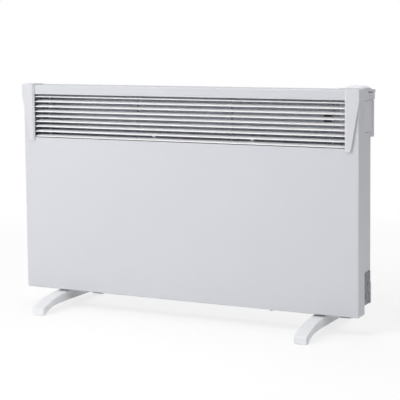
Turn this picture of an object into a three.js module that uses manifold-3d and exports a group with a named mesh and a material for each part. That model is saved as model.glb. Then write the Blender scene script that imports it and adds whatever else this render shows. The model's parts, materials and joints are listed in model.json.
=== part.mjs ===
// Wall panel convector heater standing on two feet, millimetres.
// X runs to the right seen from the front, Y to the back, Z up. The floor is Z = 0,
// and the origin lies on the floor under the middle of the heater.

import * as THREE from 'three';
import { mergeVertices } from 'three/addons/utils/BufferGeometryUtils.js';
import Module from 'manifold-3d';

const wasm = await Module();
wasm.setup();

// ---------------------------------------------------------------- driving dimensions

const caseWidth = 780;
const caseHeight = 450;
const caseDepth = 74;
const standHeight = 40;            // floor to the lower edge of the front cover
const fitGap = 0.3;                // play between pieces that touch
const screwPlay = 0.4;             // round a screw in its hole

const sheet = 1;                   // casing steel
const bend = 2;                    // outside radius of the folded edges
const coverEdge = 35;              // how far the cover's edges reach back
const coverLip = 14;               // return along the bottom of the cover
const lipScrewX = [-200, 200];     // screws that hold the cover's lower lip
const lipTabWidth = 20;
const trayLap = 12;                // tray walls reach this far inside the cover's edges
const traySkirt = 17;              // tray floor above the cover's lower edge
const floorSlotWidth = 14;         // air inlet slots
const floorSlotLength = 40;
const rearSlotWidth = 6;
const rearSlotHeight = 30;
const rearSlotLift = 14;           // above the tray floor
const slotPitch = 34;
const slotEndMargin = 24;
const slotFootMargin = 3;          // floor slots keep this far from the feet
const hangSlotX = 230;             // slots for a wall bracket's hooks
const hangSlotDrop = 150;
const hangSlotWidth = 34;
const hangSlotHeight = 7;
const beadHeights = [162, 279];    // stiffening beads above the cover's lower edge
const beadLength = 570;
const beadWidth = 14;
const beadDepth = 1.6;

const outletHeight = 95;
const outletTopMargin = 20;        // top of the casing to the outlet
const slatCount = 9;
const slatSheet = 0.9;
const slatReach = 12;              // depth of the sloping blade
const slatRise = 3.9;              // height the blade gains towards the back
const slatNose = 0.8;              // turned-down front edge
const slatTail = 1.2;              // flat rear edge
const slatSetback = 1;             // nose behind the face of the cover
const slatEdgeGap = 1.6;           // first and last slat to the edges of the outlet
const ribSheet = 1;
const ribCount = 4;
const ribInset = 31;               // outer ribs in from the ends of the outlet
const ribStart = 11;               // front edge of a comb behind the face of the cover
const ribBack = 20;                // rear edge of a comb behind the face of the cover
const ribTab = 8;                  // comb ends past the outlet

const capWing = 30.5;              // width of a cap's face
const capProud = 4;                // face of a cap in front of the cover
const capWall = 2;
const capBand = 22;                // side band of a cap below the top of the casing
const capTipWidth = 14;
const capTipDrop = 6;              // tip below the outlet
const capRadius = 3;               // tip of a cap and corners of the hood
const capCorner = 1.6;             // upper outer corner of a cap
const capEdge = 1.2;               // rounding of the face's edges
const hookWidth = 3;               // snap hooks of the caps
const hookHeight = 8;
const hookInset = 6;               // outlet's end to the middle of a hook
const hookCatch = 4;
const lowHookLift = 32;            // above the lower edge of the outlet
const highHookDrop = 14;           // below the upper edge of the outlet

const bayWidth = 54;               // control housing across
const bayHeight = 87;              // top of the casing to the housing's side edge
const housingBack = 16.7;            // housing behind the casing
const housingDrop = 10;            // rear of the housing below its side edge
const housingWall = 2;
const spigotPlay = 0.4;            // housing's spigot inside the hood, with the hood's own gap
const hoodLip = 3;                 // rear lip of the right cap past the housing
const hoodFall = 5;                // the hood's top is this much lower at the rear
const hoodVentLength = 30;
const hoodVentHeight = 2.4;
const hoodVentDrop = 5.5;          // below the top of the hood
const hoodGrooveDrops = [12.4, 18];
const hoodGrooveHeight = 1.2;
const glandHole = 10.6;
const glandInset = 30;             // gland from the inner side of the housing
const tubeHole = 5;
const sensorInset = 16;            // sensor from the inner side of the housing
const sensorY = 18;

const knobDiameter = 50;
const knobTopDiameter = 30;
const knobHeight = 5.8;
const knobWall = 1.6;
const spindleDiameter = 6;
const bushDiameter = 9.6;
const thermostatSize = 34;
const thermostatRound = 3;         // upright edges of the thermostat
const thermostatDepth = 29;
const bulbLength = 62;
const bulbDiameter = 6.4;
const capillaryDiameter = 2.2;
const cutoutWidth = 19;            // thermal cut-out
const cutoutHeight = 16;
const cutoutDepth = 9;
const cutoutLift = 48;             // above the lower edge of the outlet

const elementLeftGap = 52;         // left end of the casing to the fins
const elementRightGap = 34;        // fins to the control housing
const elementDepth = 42;
const elementHeight = 64;
const elementLift = 125;           // centre of the element above the cover's lower edge
const finCount = 10;
const finSheet = 1.6;
const coreDiameter = 8;
const coreTail = 28;               // bare ends of the rod past the fins
const bossDiameter = 17;
const kerfCount = 4;               // saw cuts that let the fins expand
const kerfWidth = 1.6;
const bracketSheet = 1.5;
const bracketGap = 12;             // bracket past the end of the fins
const bracketHeight = 44;
const bracketFlange = 16;
const insulatorNeck = 12;
const insulatorCollar = 18;

const shieldSheet = 0.8;
const shieldStandoff = 8;          // heat shield behind the face of the cover
const tongueX = [-72, 156];        // tongues of the shield behind the lowest slats
const tongueWidth = 7;

const footSpacing = 606;           // between the middles of the two feet
const footWidth = 28;
const footReach = 91;              // foot in front of and behind the casing
const footClearance = 4.5;         // top of a foot to the lower edge of the cover
const footArch = 15.5;             // floor to the underside of the arch
const footArchRun = 66;            // foot's end to the level part of the arch
const footTopRun = 92;             // foot's end to the level part of its top
const footPadLength = 10;
const footNose = 14.5;             // height of the foot's end
const footWall = 2.5;
const footEdge = 1.4;
const footRib = 2;                 // cross ribs under the arch
const footRibY = [44, 74];
const footScrewY = 16;
const screwShank = 4;
const screwHeadWide = 8;
const screwHeadHigh = 2.4;
const screwSeatLift = 8;           // screw seat above the underside of the arch
const padThickness = 1.5;
const padStand = 0.6;              // how far a pad stands out of its recess

const spacerWidth = 22;
const spacerHeight = 45;
const spacerDepth = 6;
const spacerWall = 4;
const plateHeight = 66;
const plateSheet = 0.5;
const plateMargin = 3;

// ---------------------------------------------------------------- derived places

const yFace = -caseDepth / 2;
const yRear = caseDepth / 2;
const zLow = standHeight;
const zHigh = standHeight + caseHeight;
const halfWidth = caseWidth / 2;
const yCoverEnd = yFace + coverEdge;
const yTrayFront = yCoverEnd - trayLap;
const trayHalf = halfWidth - sheet - fitGap;
const zTrayLow = zLow + traySkirt;
const zTrayHigh = zHigh - sheet - fitGap;
const capOverhang = capWall;
const outletHalf = halfWidth + capOverhang - capWing;
const zOutletHigh = zHigh - outletTopMargin;
const zOutletLow = zOutletHigh - outletHeight;
const xBay = halfWidth - bayWidth;
const zBay = zHigh - bayHeight;
const ribHalf = outletHalf - ribInset;
const ribPitch = 2 * ribHalf / (ribCount - 1);
const yHousing = yRear + housingBack;
const zHousingLow = zBay - housingDrop;
const xRoom0 = xBay + 2 * fitGap + capWall + spigotPlay + housingWall;
const xRoom1 = halfWidth - spigotPlay - housingWall;
const knobX = Math.min(
  halfWidth + capWall - knobDiameter / 2,
  xRoom1 - fitGap - thermostatSize / 2,
);
const knobY = (yCoverEnd + yHousing) / 2 - 1;
const zCapTop = zHigh + capWall;
const hoodRun = yHousing + hoodLip - yCoverEnd;
const hoodAngle = Math.atan(hoodFall / hoodRun);
const zKnobSeat = hoodTop(knobY);
const zElement = zLow + elementLift;
const yElement = 3;
const xElement0 = -halfWidth + elementLeftGap;
const xElement1 = xBay - elementRightGap;
const elementLength = xElement1 - xElement0;
const elementShift = (xElement0 + xElement1) / 2;
const hookHeights = [zOutletLow + lowHookLift, zOutletHigh - highHookDrop];
const hookX = outletHalf + hookInset;
const yLipScrew = yFace + coverLip / 2;
const slatHeight = slatRise + slatNose;
const slatPitch = (outletHeight - 2 * slatEdgeGap - slatHeight) / (slatCount - 1);
const ySlatTail = yFace + slatSetback + slatReach + slatTail;
const glandX = xBay + glandInset;
const glandY = (yRear + fitGap + yHousing) / 2;
const sensorX = xBay + sensorInset;
const thermostatTop = -capWall - fitGap;   // from the hood's top, along the knob's axis
const thermostatLow = thermostatTop - thermostatDepth;
const yThermostatLow = knobY + thermostatLow * Math.sin(hoodAngle);
const zThermostatLow = zKnobSeat + thermostatLow * Math.cos(hoodAngle);
const footEnd = caseDepth / 2 + footReach;
const footTop = standHeight - footClearance;
const zSaddle = standHeight + traySkirt - fitGap;
const zScrewSeat = footArch + screwSeatLift;
const padHalf = footWidth / 2 - 2 - fitGap;
const padReach = footPadLength / 2 - 1;
const yPad = footEnd - footPadLength / 2;
const overcut = 5;                 // cutting bodies run past what they cut by this much

// ---------------------------------------------------------------- materials

function finish(color, roughness, metalness) {
  return new THREE.MeshStandardMaterial({ color, roughness, metalness });
}

const paintedSteel = finish(0xe6e8ee, 0.42, 0.0);
const paintedSlat = finish(0xf2f3f6, 0.38, 0.0);
const whiteAbs = finish(0xe9eaee, 0.45, 0.0);
const whiteGloss = finish(0xf4f5f8, 0.3, 0.0);
const zincSteel = finish(0xb9bcc0, 0.45, 0.9);
const aluminium = finish(0xb4b8bc, 0.4, 1.0);
const ceramic = finish(0xe8e2d4, 0.5, 0.0);
const blackNylon = finish(0x2a2b2e, 0.55, 0.0);
const greyFoil = finish(0x7f8288, 0.5, 0.2);
const copper = finish(0xb87348, 0.35, 1.0);
const rubber = finish(0x34353a, 0.9, 0.0);

// ---------------------------------------------------------------- shape helpers

const unitX = new THREE.Vector3(1, 0, 0);
const unitY = new THREE.Vector3(0, 1, 0);
const unitZ = new THREE.Vector3(0, 0, 1);
const standOnX = new THREE.Matrix4().makeBasis(unitY, unitZ, unitX);
const standOnY = new THREE.Matrix4().makeBasis(unitX, unitZ, unitY.clone().negate());

function solid(geometry) {
  const bare = geometry.clone();
  bare.deleteAttribute('normal');
  bare.deleteAttribute('uv');
  const merged = mergeVertices(bare, 1e-4);
  const vertProperties = new Float32Array(merged.attributes.position.array);
  const triVerts = new Uint32Array(merged.index.array);
  return new wasm.Manifold(new wasm.Mesh({ numProp: 3, vertProperties, triVerts }));
}

function geometryOf(body) {
  const mesh = body.getMesh();
  const geometry = new THREE.BufferGeometry();
  geometry.setAttribute('position', new THREE.BufferAttribute(mesh.vertProperties, 3));
  geometry.setIndex(new THREE.BufferAttribute(mesh.triVerts, 1));
  const faceted = geometry.toNonIndexed();
  faceted.computeVertexNormals();
  return faceted;
}

function join(first, ...rest) {
  return rest.reduce((body, piece) => body.add(piece), first);
}

function cut(first, ...rest) {
  return rest.reduce((body, piece) => body.subtract(piece), first);
}

function block(x0, x1, y0, y1, z0, z1) {
  const geometry = new THREE.BoxGeometry(x1 - x0, y1 - y0, z1 - z0);
  geometry.translate((x0 + x1) / 2, (y0 + y1) / 2, (z0 + z1) / 2);
  return solid(geometry);
}

// Extrudes a shape; with an edge radius both ends are rounded inside the given length.
function extrude(shape, length, edge, curveSegments = 8) {
  const geometry = new THREE.ExtrudeGeometry(shape, {
    depth: length - 2 * edge,
    bevelEnabled: edge > 0,
    bevelThickness: edge,
    bevelSize: edge,
    bevelOffset: -edge,
    bevelSegments: 2,
    curveSegments,
  });
  return geometry.translate(0, 0, edge);
}

// The shape is drawn in Y and Z and runs along X.
function barX(shape, x0, x1, edge = 0, curveSegments = 8) {
  const geometry = extrude(shape, x1 - x0, edge, curveSegments);
  return solid(geometry.applyMatrix4(standOnX).translate(x0, 0, 0));
}

// The shape is drawn in X and Z and runs along Y.
function barY(shape, y0, y1, edge = 0, curveSegments = 8) {
  const geometry = extrude(shape, y1 - y0, edge, curveSegments);
  return solid(geometry.applyMatrix4(standOnY).translate(0, y1, 0));
}

// The shape is drawn in X and Y and runs along Z.
function barZ(shape, z0, z1, edge = 0, curveSegments = 8) {
  const geometry = extrude(shape, z1 - z0, edge, curveSegments);
  return solid(geometry.translate(0, 0, z0));
}

function rod(axis, radius, from, to, sides = 24) {
  const length = to - from;
  const geometry = new THREE.CylinderGeometry(radius, radius, length, sides);
  if (axis === 'x') geometry.rotateZ(-Math.PI / 2);
  if (axis === 'z') geometry.rotateX(Math.PI / 2);
  const middle = (from + to) / 2;
  geometry.translate(axis === 'x' ? middle : 0, axis === 'y' ? middle : 0, axis === 'z' ? middle : 0);
  return solid(geometry);
}

// Turns a profile of [radius, height] points round the Z axis.
function turned(profile, sides = 32) {
  const points = profile.map(([radius, height]) => new THREE.Vector2(radius, height));
  const geometry = new THREE.LatheGeometry(points, sides);
  return solid(geometry.rotateX(Math.PI / 2));
}

function roundedRect(u0, u1, v0, v1, radius) {
  const shape = new THREE.Shape();
  const quarter = Math.PI / 2;
  shape.absarc(u1 - radius, v0 + radius, radius, -quarter, 0);
  shape.absarc(u1 - radius, v1 - radius, radius, 0, quarter);
  shape.absarc(u0 + radius, v1 - radius, radius, quarter, 2 * quarter);
  shape.absarc(u0 + radius, v0 + radius, radius, 2 * quarter, 3 * quarter);
  shape.closePath();
  return shape;
}

// A slot with round ends, standing or lying, centred on u and v.
function slotShape(u, v, width, height, endSegments) {
  const radius = Math.min(width, height) / 2;
  const standing = height > width;
  const along = Math.abs(height - width) / 2;
  const points = [0, 1].flatMap((end) => Array.from({ length: endSegments + 1 }, (_, index) => {
    const angle = Math.PI * (end + index / endSegments);
    const push = end ? -along : along;
    const across = radius * Math.cos(angle);
    const forward = radius * Math.sin(angle) + push;
    return standing ? new THREE.Vector2(u + across, v + forward) : new THREE.Vector2(u - forward, v + across);
  }));
  return new THREE.Shape(points);
}

// Outline of a folded strip: the path is its middle line, mitred at the folds.
function foldedStrip(path, thickness) {
  const points = path.map(([u, v]) => new THREE.Vector2(u, v));
  const side = (sign) => points.map((point, index) => {
    const before = points[Math.max(index - 1, 0)];
    const after = points[Math.min(index + 1, points.length - 1)];
    const into = point.clone().sub(before).normalize();
    const out = after.clone().sub(point).normalize();
    if (index === 0) into.copy(out);
    if (index === points.length - 1) out.copy(into);
    const mitre = into.clone().add(out).normalize();
    const reach = sign * thickness / 2 / mitre.dot(into);
    return point.clone().add(new THREE.Vector2(-mitre.y, mitre.x).multiplyScalar(reach));
  });
  return new THREE.Shape([...side(-1), ...side(1).reverse()]);
}

function piece(name, body, material) {
  const geometry = geometryOf(body);
  const mesh = new THREE.Mesh(geometry, material.clone());
  mesh.name = name;
  return mesh;
}

function place(mesh, x, y, z) {
  mesh.position.set(x, y, z);
  return mesh;
}

// ---------------------------------------------------------------- casing

// A shallow tray folded from sheet, closed at y0 and open at y1; its folds are rounded.
function foldedTray(half, z0, z1, y0, y1) {
  const depth = Math.abs(y1 - y0);
  const run = depth + 4 * bend;
  const corner = bend + 0.5;
  const outline = roundedRect(-half, half, z0, z1, corner);
  const inside = roundedRect(-half + sheet, half - sheet, z0 + sheet, z1 - sheet, corner - sheet);
  const opensBack = y1 > y0;
  const start = opensBack ? y0 : y0 - run;
  const hollowStart = opensBack ? y0 + sheet : y0 - sheet - run;
  const outer = barY(outline, start, start + run, bend, 3);
  const hollow = barY(inside, hollowStart, hollowStart + run, bend - sheet, 3);
  const low = opensBack ? y1 : y1 - run - overcut;
  const high = opensBack ? y1 + run + overcut : y1;
  const beyond = block(-half - overcut, half + overcut, low, high, z0 - overcut, z1 + overcut);
  return cut(outer, hollow, beyond);
}

function hookSlots() {
  const slots = [-1, 1].flatMap((side) => hookHeights.map((z) => {
    const near = hookWidth / 2 + fitGap;
    const tall = hookHeight / 2 + fitGap;
    const x = side * hookX;
    return block(x - near, x + near, yFace - overcut, yFace + overcut, z - tall, z + tall);
  }));
  return join(...slots);
}

function frontCover() {
  const tray = foldedTray(halfWidth, zLow, zHigh, yFace, yCoverEnd);
  const outlet = barY(
    roundedRect(-outletHalf, outletHalf, zOutletLow, zOutletHigh, bend),
    yFace - overcut, yFace + overcut, 0, 3,
  );
  const inner = halfWidth - sheet;
  const inlet = block(-inner, inner, yFace + coverLip, yCoverEnd + overcut, zLow - overcut, zLow + sheet);
  const holes = lipScrewX.map((x) => rod('z', screwShank / 2 + screwPlay, zLow - 1, zLow + 2 * sheet, 16)
    .translate([x, yLipScrew, 0]));
  return piece('front_cover', cut(tray, outlet, inlet, hookSlots(), ...holes), paintedSteel);
}

function inletSlots() {
  const footKeepout = footWidth / 2 + floorSlotWidth / 2 + slotFootMargin;
  const count = Math.floor(2 * (trayHalf - slotEndMargin) / slotPitch);
  const places = Array.from({ length: count }, (_, index) => (index - (count - 1) / 2) * slotPitch);
  const clearOfFeet = places.filter((x) => Math.abs(Math.abs(x) - footSpacing / 2) > footKeepout);
  const floorSlot = barZ(
    slotShape(0, 0, floorSlotWidth, floorSlotLength, 3), zTrayLow - overcut, zTrayLow + overcut,
  );
  const rearMiddle = zTrayLow + rearSlotLift + rearSlotHeight / 2;
  const rearSlot = barY(
    slotShape(0, rearMiddle, rearSlotWidth, rearSlotHeight, 2), yRear - overcut, yRear + overcut,
  );
  const floorSlots = clearOfFeet.map((x) => floorSlot.translate([x, 0, 0]));
  const rearSlots = places.map((x) => rearSlot.translate([x, 0, 0]));
  return join(...floorSlots, ...rearSlots);
}

// Slots that drop over the hooks of a wall bracket: a wide mouth above a narrow seat.
function hangSlots() {
  const z = zHigh - hangSlotDrop;
  return join(...[-1, 1].flatMap((side) => {
    const x = side * hangSlotX;
    const mouth = roundedRect(x - hangSlotWidth / 2, x + hangSlotWidth / 2, z, z + hangSlotHeight, 2);
    const seat = roundedRect(x - hangSlotWidth / 4, x + hangSlotWidth / 4, z - hangSlotHeight, z + 3, 2);
    return [mouth, seat].map((shape) => barY(shape, yRear - overcut, yRear + overcut, 0, 3));
  }));
}

// Long beads pressed inwards stiffen the rear sheet.
function pressedBeads() {
  const bulge = (z, y0, y1, grow) => barY(
    slotShape(0, z, beadLength + 2 * grow, beadWidth + 2 * grow, 4), y0, y1, beadDepth * 0.6,
  );
  const heights = beadHeights.map((lift) => zLow + lift);
  const skin = yRear - sheet;
  return {
    added: heights.map((z) => bulge(z, skin - beadDepth, yRear - sheet / 2 + beadDepth, 0)
      .subtract(block(-halfWidth, halfWidth, yRear - sheet / 2, yRear + overcut, 0, zHigh))),
    pressed: heights.map((z) => bulge(z, yRear - beadDepth, yRear + overcut, -sheet)),
  };
}

// Tabs of the tray reach down behind the cover's lip and take its screws.
function coverTabs() {
  return lipScrewX.map((x) => {
    const near = yFace + sheet + fitGap;
    const path = [
      [near + sheet / 2, zTrayLow + sheet / 2],
      [near + sheet / 2, zLow + sheet + fitGap + sheet / 2],
      [yFace + coverLip - 1, zLow + sheet + fitGap + sheet / 2],
    ];
    const tab = barX(foldedStrip(path, sheet), x - lipTabWidth / 2, x + lipTabWidth / 2);
    const hole = rod('z', screwShank / 2 + screwPlay, zLow, zLow + overcut, 16)
      .translate([x, yLipScrew, 0]);
    return tab.subtract(hole);
  });
}

function backPanel() {
  const shell = foldedTray(trayHalf, zTrayLow, zTrayHigh, yRear, yTrayFront);
  const floor = block(
    -trayHalf + bend, trayHalf - bend, yFace + sheet + fitGap, yRear - bend,
    zTrayLow, zTrayLow + sheet,
  );
  const bay = block(xBay, halfWidth, yTrayFront - overcut, yRear + overcut, zBay, zHigh + overcut);
  const beads = pressedBeads();
  const footHoles = [-1, 1].flatMap((side) => [-1, 1].map((end) => {
    const hole = rod('z', screwShank / 2 + screwPlay, zTrayLow - 1, zTrayLow + 2 * sheet, 16);
    return hole.translate([side * footSpacing / 2, end * footScrewY, 0]);
  }));
  const body = join(shell, floor, ...coverTabs(), ...beads.added);
  const opened = cut(body, bay, inletSlots(), hangSlots(), ...beads.pressed, ...footHoles);
  return piece('back_panel', opened, paintedSteel);
}

// The shield keeps the element's heat off the cover; two tongues rise behind the lowest slat.
function heatShield() {
  const ySeat = yFace + sheet + fitGap + shieldSheet / 2;
  const yPlate = yFace + shieldStandoff;
  const zFoot = zTrayLow + 12;
  const zHead = zOutletLow - ribTab - 5;
  const step = 7;
  const pan = foldedStrip([
    [ySeat, zFoot], [ySeat, zFoot + step], [yPlate, zFoot + 2 * step],
    [yPlate, zHead - 2 * step], [ySeat, zHead - step], [ySeat, zHead],
  ], shieldSheet);
  const yTongue = ySlatTail + 2 * shieldSheet;
  const rise = zOutletLow + 8;
  const tongue = foldedStrip([
    [yPlate, zHead - 3 * step], [yTongue, zHead - step],
    [yTongue, rise], [yTongue - 2.5, rise + 3.4],
  ], shieldSheet);
  const half = tongueWidth / 2;
  const tongues = tongueX.map((x) => barX(tongue, x - half, x + half));
  const sheetBody = barX(pan, -halfWidth + 18, xBay - 10);
  return piece('heat_shield', join(sheetBody, ...tongues), zincSteel);
}

// ---------------------------------------------------------------- outlet grille

// Section of a slat from its nose: a turned-down edge, the sloping blade, a flat tail.
function slatPath() {
  return [
    [0, 0], [0.3, slatNose],
    [slatReach, slatNose + slatRise - slatSheet / 2],
    [slatReach + slatTail, slatNose + slatRise - slatSheet / 2],
  ];
}

function slatPlace(index) {
  return zOutletLow + slatEdgeGap + index * slatPitch;
}

function slat(index) {
  const reach = outletHalf - fitGap;
  const blade = barX(foldedStrip(slatPath(), slatSheet), -reach, reach);
  const mesh = piece(`louvre_slat_${index + 1}`, blade, paintedSlat);
  return place(mesh, 0, yFace + slatSetback + slatSheet / 2, slatPlace(index));
}

// A comb stands behind the outlet, rests on the back of the cover above and below it,
// and holds every slat in a slanted notch.
function ribBody() {
  const y0 = yFace + ribStart;
  const y1 = yFace + ribBack;
  const ySeat = yFace + sheet + fitGap;
  const z0 = zOutletLow - ribTab;
  const z1 = zOutletHigh + ribTab;
  const back = 3;
  const outline = new THREE.Shape([
    new THREE.Vector2(ySeat, z0),
    new THREE.Vector2(y1 - back, z0),
    new THREE.Vector2(y1, z0 + back),
    new THREE.Vector2(y1, z1 - back),
    new THREE.Vector2(y1 - back, z1),
    new THREE.Vector2(ySeat, z1),
    new THREE.Vector2(ySeat, zOutletHigh + fitGap),
    new THREE.Vector2(y0, zOutletHigh + fitGap),
    new THREE.Vector2(y0, zOutletLow - fitGap),
    new THREE.Vector2(ySeat, zOutletLow - fitGap),
  ]);
  const notchShape = foldedStrip(slatPath(), slatSheet + 2 * fitGap);
  const notch = barX(notchShape, -2 * ribSheet, 2 * ribSheet);
  const notches = Array.from({ length: slatCount }, (_, index) => notch.translate(
    [0, yFace + slatSetback + slatSheet / 2, slatPlace(index)],
  ));
  return cut(barX(outline, -ribSheet / 2, ribSheet / 2), ...notches);
}

function ribs() {
  const body = ribBody();
  return Array.from({ length: ribCount }, (_, index) => {
    const mesh = piece(`grille_rib_${index + 1}`, body, paintedSteel);
    return place(mesh, -ribHalf + index * ribPitch, 0, 0);
  });
}

// ---------------------------------------------------------------- end caps

// Face of a cap: straight beside the top of the casing, then tapering to a rounded tip.
function capFace(inset) {
  const inner = outletHalf + inset;
  const outer = halfWidth + capOverhang - inset;
  const top = zCapTop - inset;
  const shoulder = zHigh - capBand;
  const tip = zOutletLow - capTipDrop + inset;
  const tipOuter = outletHalf + capTipWidth - inset;
  const radius = capRadius - Math.min(inset, capRadius - 1);
  const corner = capCorner - Math.min(inset, capCorner - 1);
  const face = new THREE.Shape();
  face.moveTo(inner, top);
  face.lineTo(inner, tip + radius);
  face.quadraticCurveTo(inner, tip, inner + radius, tip);
  face.lineTo(tipOuter - radius, tip);
  face.quadraticCurveTo(tipOuter, tip, tipOuter, tip + radius);
  face.lineTo(outer, shoulder);
  face.lineTo(outer, top - corner);
  face.quadraticCurveTo(outer, top, outer - corner, top);
  face.closePath();
  return face;
}

// The cap of the right end without its hood; the left one is its mirror image.
function capShell() {
  const yOut = yFace - capProud - fitGap;
  const outer = barY(capFace(0), yOut, yCoverEnd + capProud, capEdge, 4);
  const casing = block(
    -halfWidth, halfWidth + fitGap, yFace - fitGap, yCoverEnd + overcut, 0, zHigh + fitGap,
  );
  const behind = block(0, caseWidth, yCoverEnd, yCoverEnd + 2 * overcut, 0, 2 * zHigh);
  const belowBand = block(
    halfWidth - overcut, halfWidth + 2 * overcut, yFace - fitGap, yCoverEnd + overcut,
    0, zHigh - capBand,
  );
  const pocketFloor = yOut + capWall;
  const pocket = barY(capFace(capWall), pocketFloor, yFace + overcut, 0, 4);
  const rail = 1.2;
  const keep = hookHeights.map((z) => block(
    outletHalf, halfWidth, pocketFloor - 0.5, yFace - fitGap, z - hookHeight / 2, z + hookHeight / 2,
  ));
  const stiffener = block(
    outletHalf, halfWidth, pocketFloor - 0.5, yFace - fitGap,
    (hookHeights[0] + hookHeights[1]) / 2 - rail / 2, (hookHeights[0] + hookHeights[1]) / 2 + rail / 2,
  );
  const hollow = cut(pocket, ...keep, stiffener);
  return join(cut(outer, casing, behind, belowBand, hollow), ...hookHeights.map(snapHook));
}

// A hook passes through its slot in the cover and turns out behind the sheet.
function snapHook(z) {
  const x0 = hookX - hookWidth / 2;
  const x1 = hookX + hookWidth / 2;
  const yBehind = yFace + sheet + fitGap;
  const z0 = z - hookHeight / 2;
  const z1 = z + hookHeight / 2;
  const stem = block(x0, x1, yFace - fitGap - 1, yBehind + hookCatch, z0, z1);
  const barb = new THREE.Shape([
    new THREE.Vector2(x1 - 0.5, yBehind),
    new THREE.Vector2(x1 + 1.6, yBehind),
    new THREE.Vector2(x1 - 0.5, yBehind + hookCatch),
  ]);
  return stem.add(barZ(barb, z0, z1));
}

function leftCap() {
  return piece('end_cap_left', capShell().mirror([1, 0, 0]), whiteAbs);
}

// Height of the hood's top, which falls towards the rear.
function hoodTop(y) {
  return zCapTop - hoodFall * (y - yCoverEnd) / hoodRun;
}

// A strip that follows the sloping top between two depths below it.
function hoodStrip(y0, y1, upper, lower) {
  return new THREE.Shape([
    new THREE.Vector2(y0, hoodTop(y0) - lower),
    new THREE.Vector2(y1, hoodTop(y1) - lower),
    new THREE.Vector2(y1, hoodTop(y1) - upper),
    new THREE.Vector2(y0, hoodTop(y0) - upper),
  ]);
}

// The hood closes the control housing from above and carries the knob on its sloping top.
function hood() {
  const x0 = xBay + 2 * fitGap;
  const x1 = halfWidth + capOverhang;
  const yFront = yCoverEnd - capProud;
  const yBack = yHousing + fitGap;
  const yEnd = yHousing + hoodLip;
  const zLowEdge = zHigh - capBand;
  const under = (drop) => barX(
    hoodStrip(yFront - overcut, yEnd + overcut, drop, 2 * capBand), x0 - overcut, x1 + overcut,
  );
  const body = barZ(roundedRect(x0, x1, yFront, yBack, capRadius), zLowEdge, zCapTop, 0, 4);
  const lip = barZ(roundedRect(x0 + 2, x1, yHousing - 2, yEnd, 1.5), hoodTop(yEnd) - 5, zCapTop, 0, 3);
  const outer = join(body, lip).intersect(under(0));
  const room = barZ(
    roundedRect(x0 + capWall, x1 - capWall, yCoverEnd + fitGap, yBack - capWall, 2),
    zLowEdge - overcut, zCapTop, 0, 3,
  );
  const hollow = room.intersect(under(capWall));
  const casing = block(
    -halfWidth, halfWidth + fitGap, yFace, yCoverEnd + fitGap, zLowEdge - overcut, zHigh + fitGap,
  );
  const bush = rod('z', bushDiameter / 2 + 0.5, -overcut, overcut, 24)
    .rotate([-THREE.MathUtils.radToDeg(hoodAngle), 0, 0])
    .translate([knobX, knobY, zKnobSeat]);
  const line = (drop, height, depth) => barX(
    hoodStrip(knobY - hoodVentLength / 2, knobY + hoodVentLength / 2, drop, drop + height),
    x1 - depth, x1 + overcut,
  );
  const vent = line(hoodVentDrop, hoodVentHeight, capWall + 1);
  const grooves = hoodGrooveDrops.map((drop) => line(drop, hoodGrooveHeight, 0.7));
  return cut(outer, hollow, casing, bush, vent, ...grooves);
}

function rightCap() {
  return piece('end_cap_right', capShell().add(hood()), whiteAbs);
}

// ---------------------------------------------------------------- controls

// Stands a piece square to the hood's sloping top, lifted along the knob's axis.
function placeOnHood(mesh, lift) {
  mesh.rotation.x = -hoodAngle;
  return place(
    mesh, knobX, knobY + lift * Math.sin(hoodAngle), zKnobSeat + lift * Math.cos(hoodAngle),
  );
}

function controlHousing() {
  const x0 = xBay + fitGap;
  const x1 = halfWidth + 0.4;
  const y0 = yCoverEnd + 2 * fitGap;
  const zTop = zHigh - capBand - fitGap;
  const side = barZ(roundedRect(x0, x1, y0, yHousing, 2), zBay + fitGap, zTop, 0, 3);
  const rear = barZ(roundedRect(x0, x1, yRear + fitGap, yHousing, 2), zHousingLow, zTop, 0, 3);
  const spigot = barZ(
    roundedRect(
      xRoom0 - housingWall, xRoom1 + housingWall,
      y0 + 1, yHousing + fitGap - capWall - spigotPlay, 2,
    ),
    zTop - overcut, zTop + 6, 0, 3,
  );
  const wall = housingWall;
  const roomTop = zTop + 2 * overcut;
  const roomY1 = yHousing - capWall - wall;
  const roomShape = roundedRect(xRoom0, xRoom1, y0 + 1 + wall, roomY1, 1);
  const room = barZ(roomShape, zBay + fitGap + wall, roomTop, 0, 3);
  const well = block(
    xRoom0, xRoom1, yRear + fitGap + wall, yHousing - wall, zHousingLow + wall, zBay + 2 * wall,
  );
  const groove = block(x1 - 1, x1 + overcut, yRear - 6, yRear + 5, zHousingLow - overcut, zTop);
  const inlet = rod('z', glandHole / 2, zHousingLow - overcut, zHousingLow + overcut, 24)
    .translate([glandX, glandY, 0]);
  const tube = rod('z', tubeHole / 2, zBay - overcut, zBay + overcut, 16)
    .translate([sensorX, sensorY, 0]);
  const body = cut(join(side, rear, spigot), room, well, groove, inlet, tube);
  return piece('control_housing', body, whiteAbs);
}

// The knob is a low white dome, hollow below, with a hub bored to a D for the spindle.
function knob() {
  const outer = knobDiameter / 2;
  const top = knobTopDiameter / 2;
  const high = knobHeight;
  const rim = 1.2;
  const hub = spindleDiameter / 2 + 2.4;
  const shell = turned([
    [0, 0.3], [hub, 0.3], [hub, high - knobWall], [top, high - knobWall - 0.4],
    [outer - knobWall - 1, rim], [outer - knobWall, 0], [outer, 0], [outer, rim - 0.4],
    [outer - 0.3, rim], [(top + outer) / 2, (high + rim) / 2 + 0.5], [top, high - 0.25],
    [top - 2, high], [0, high],
  ], 32);
  const bore = spindleSection(fitGap, -1, high - knobWall - 0.2);
  const index = block(-0.6, 0.6, -outer - 1, -top + 1, high - 1.9, high + 1)
    .add(block(-0.6, 0.6, -outer - 1, -top - 4, high - 3.4, high));
  const mesh = piece('thermostat_knob', cut(shell, bore, index), whiteGloss);
  return placeOnHood(mesh, fitGap);
}

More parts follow.
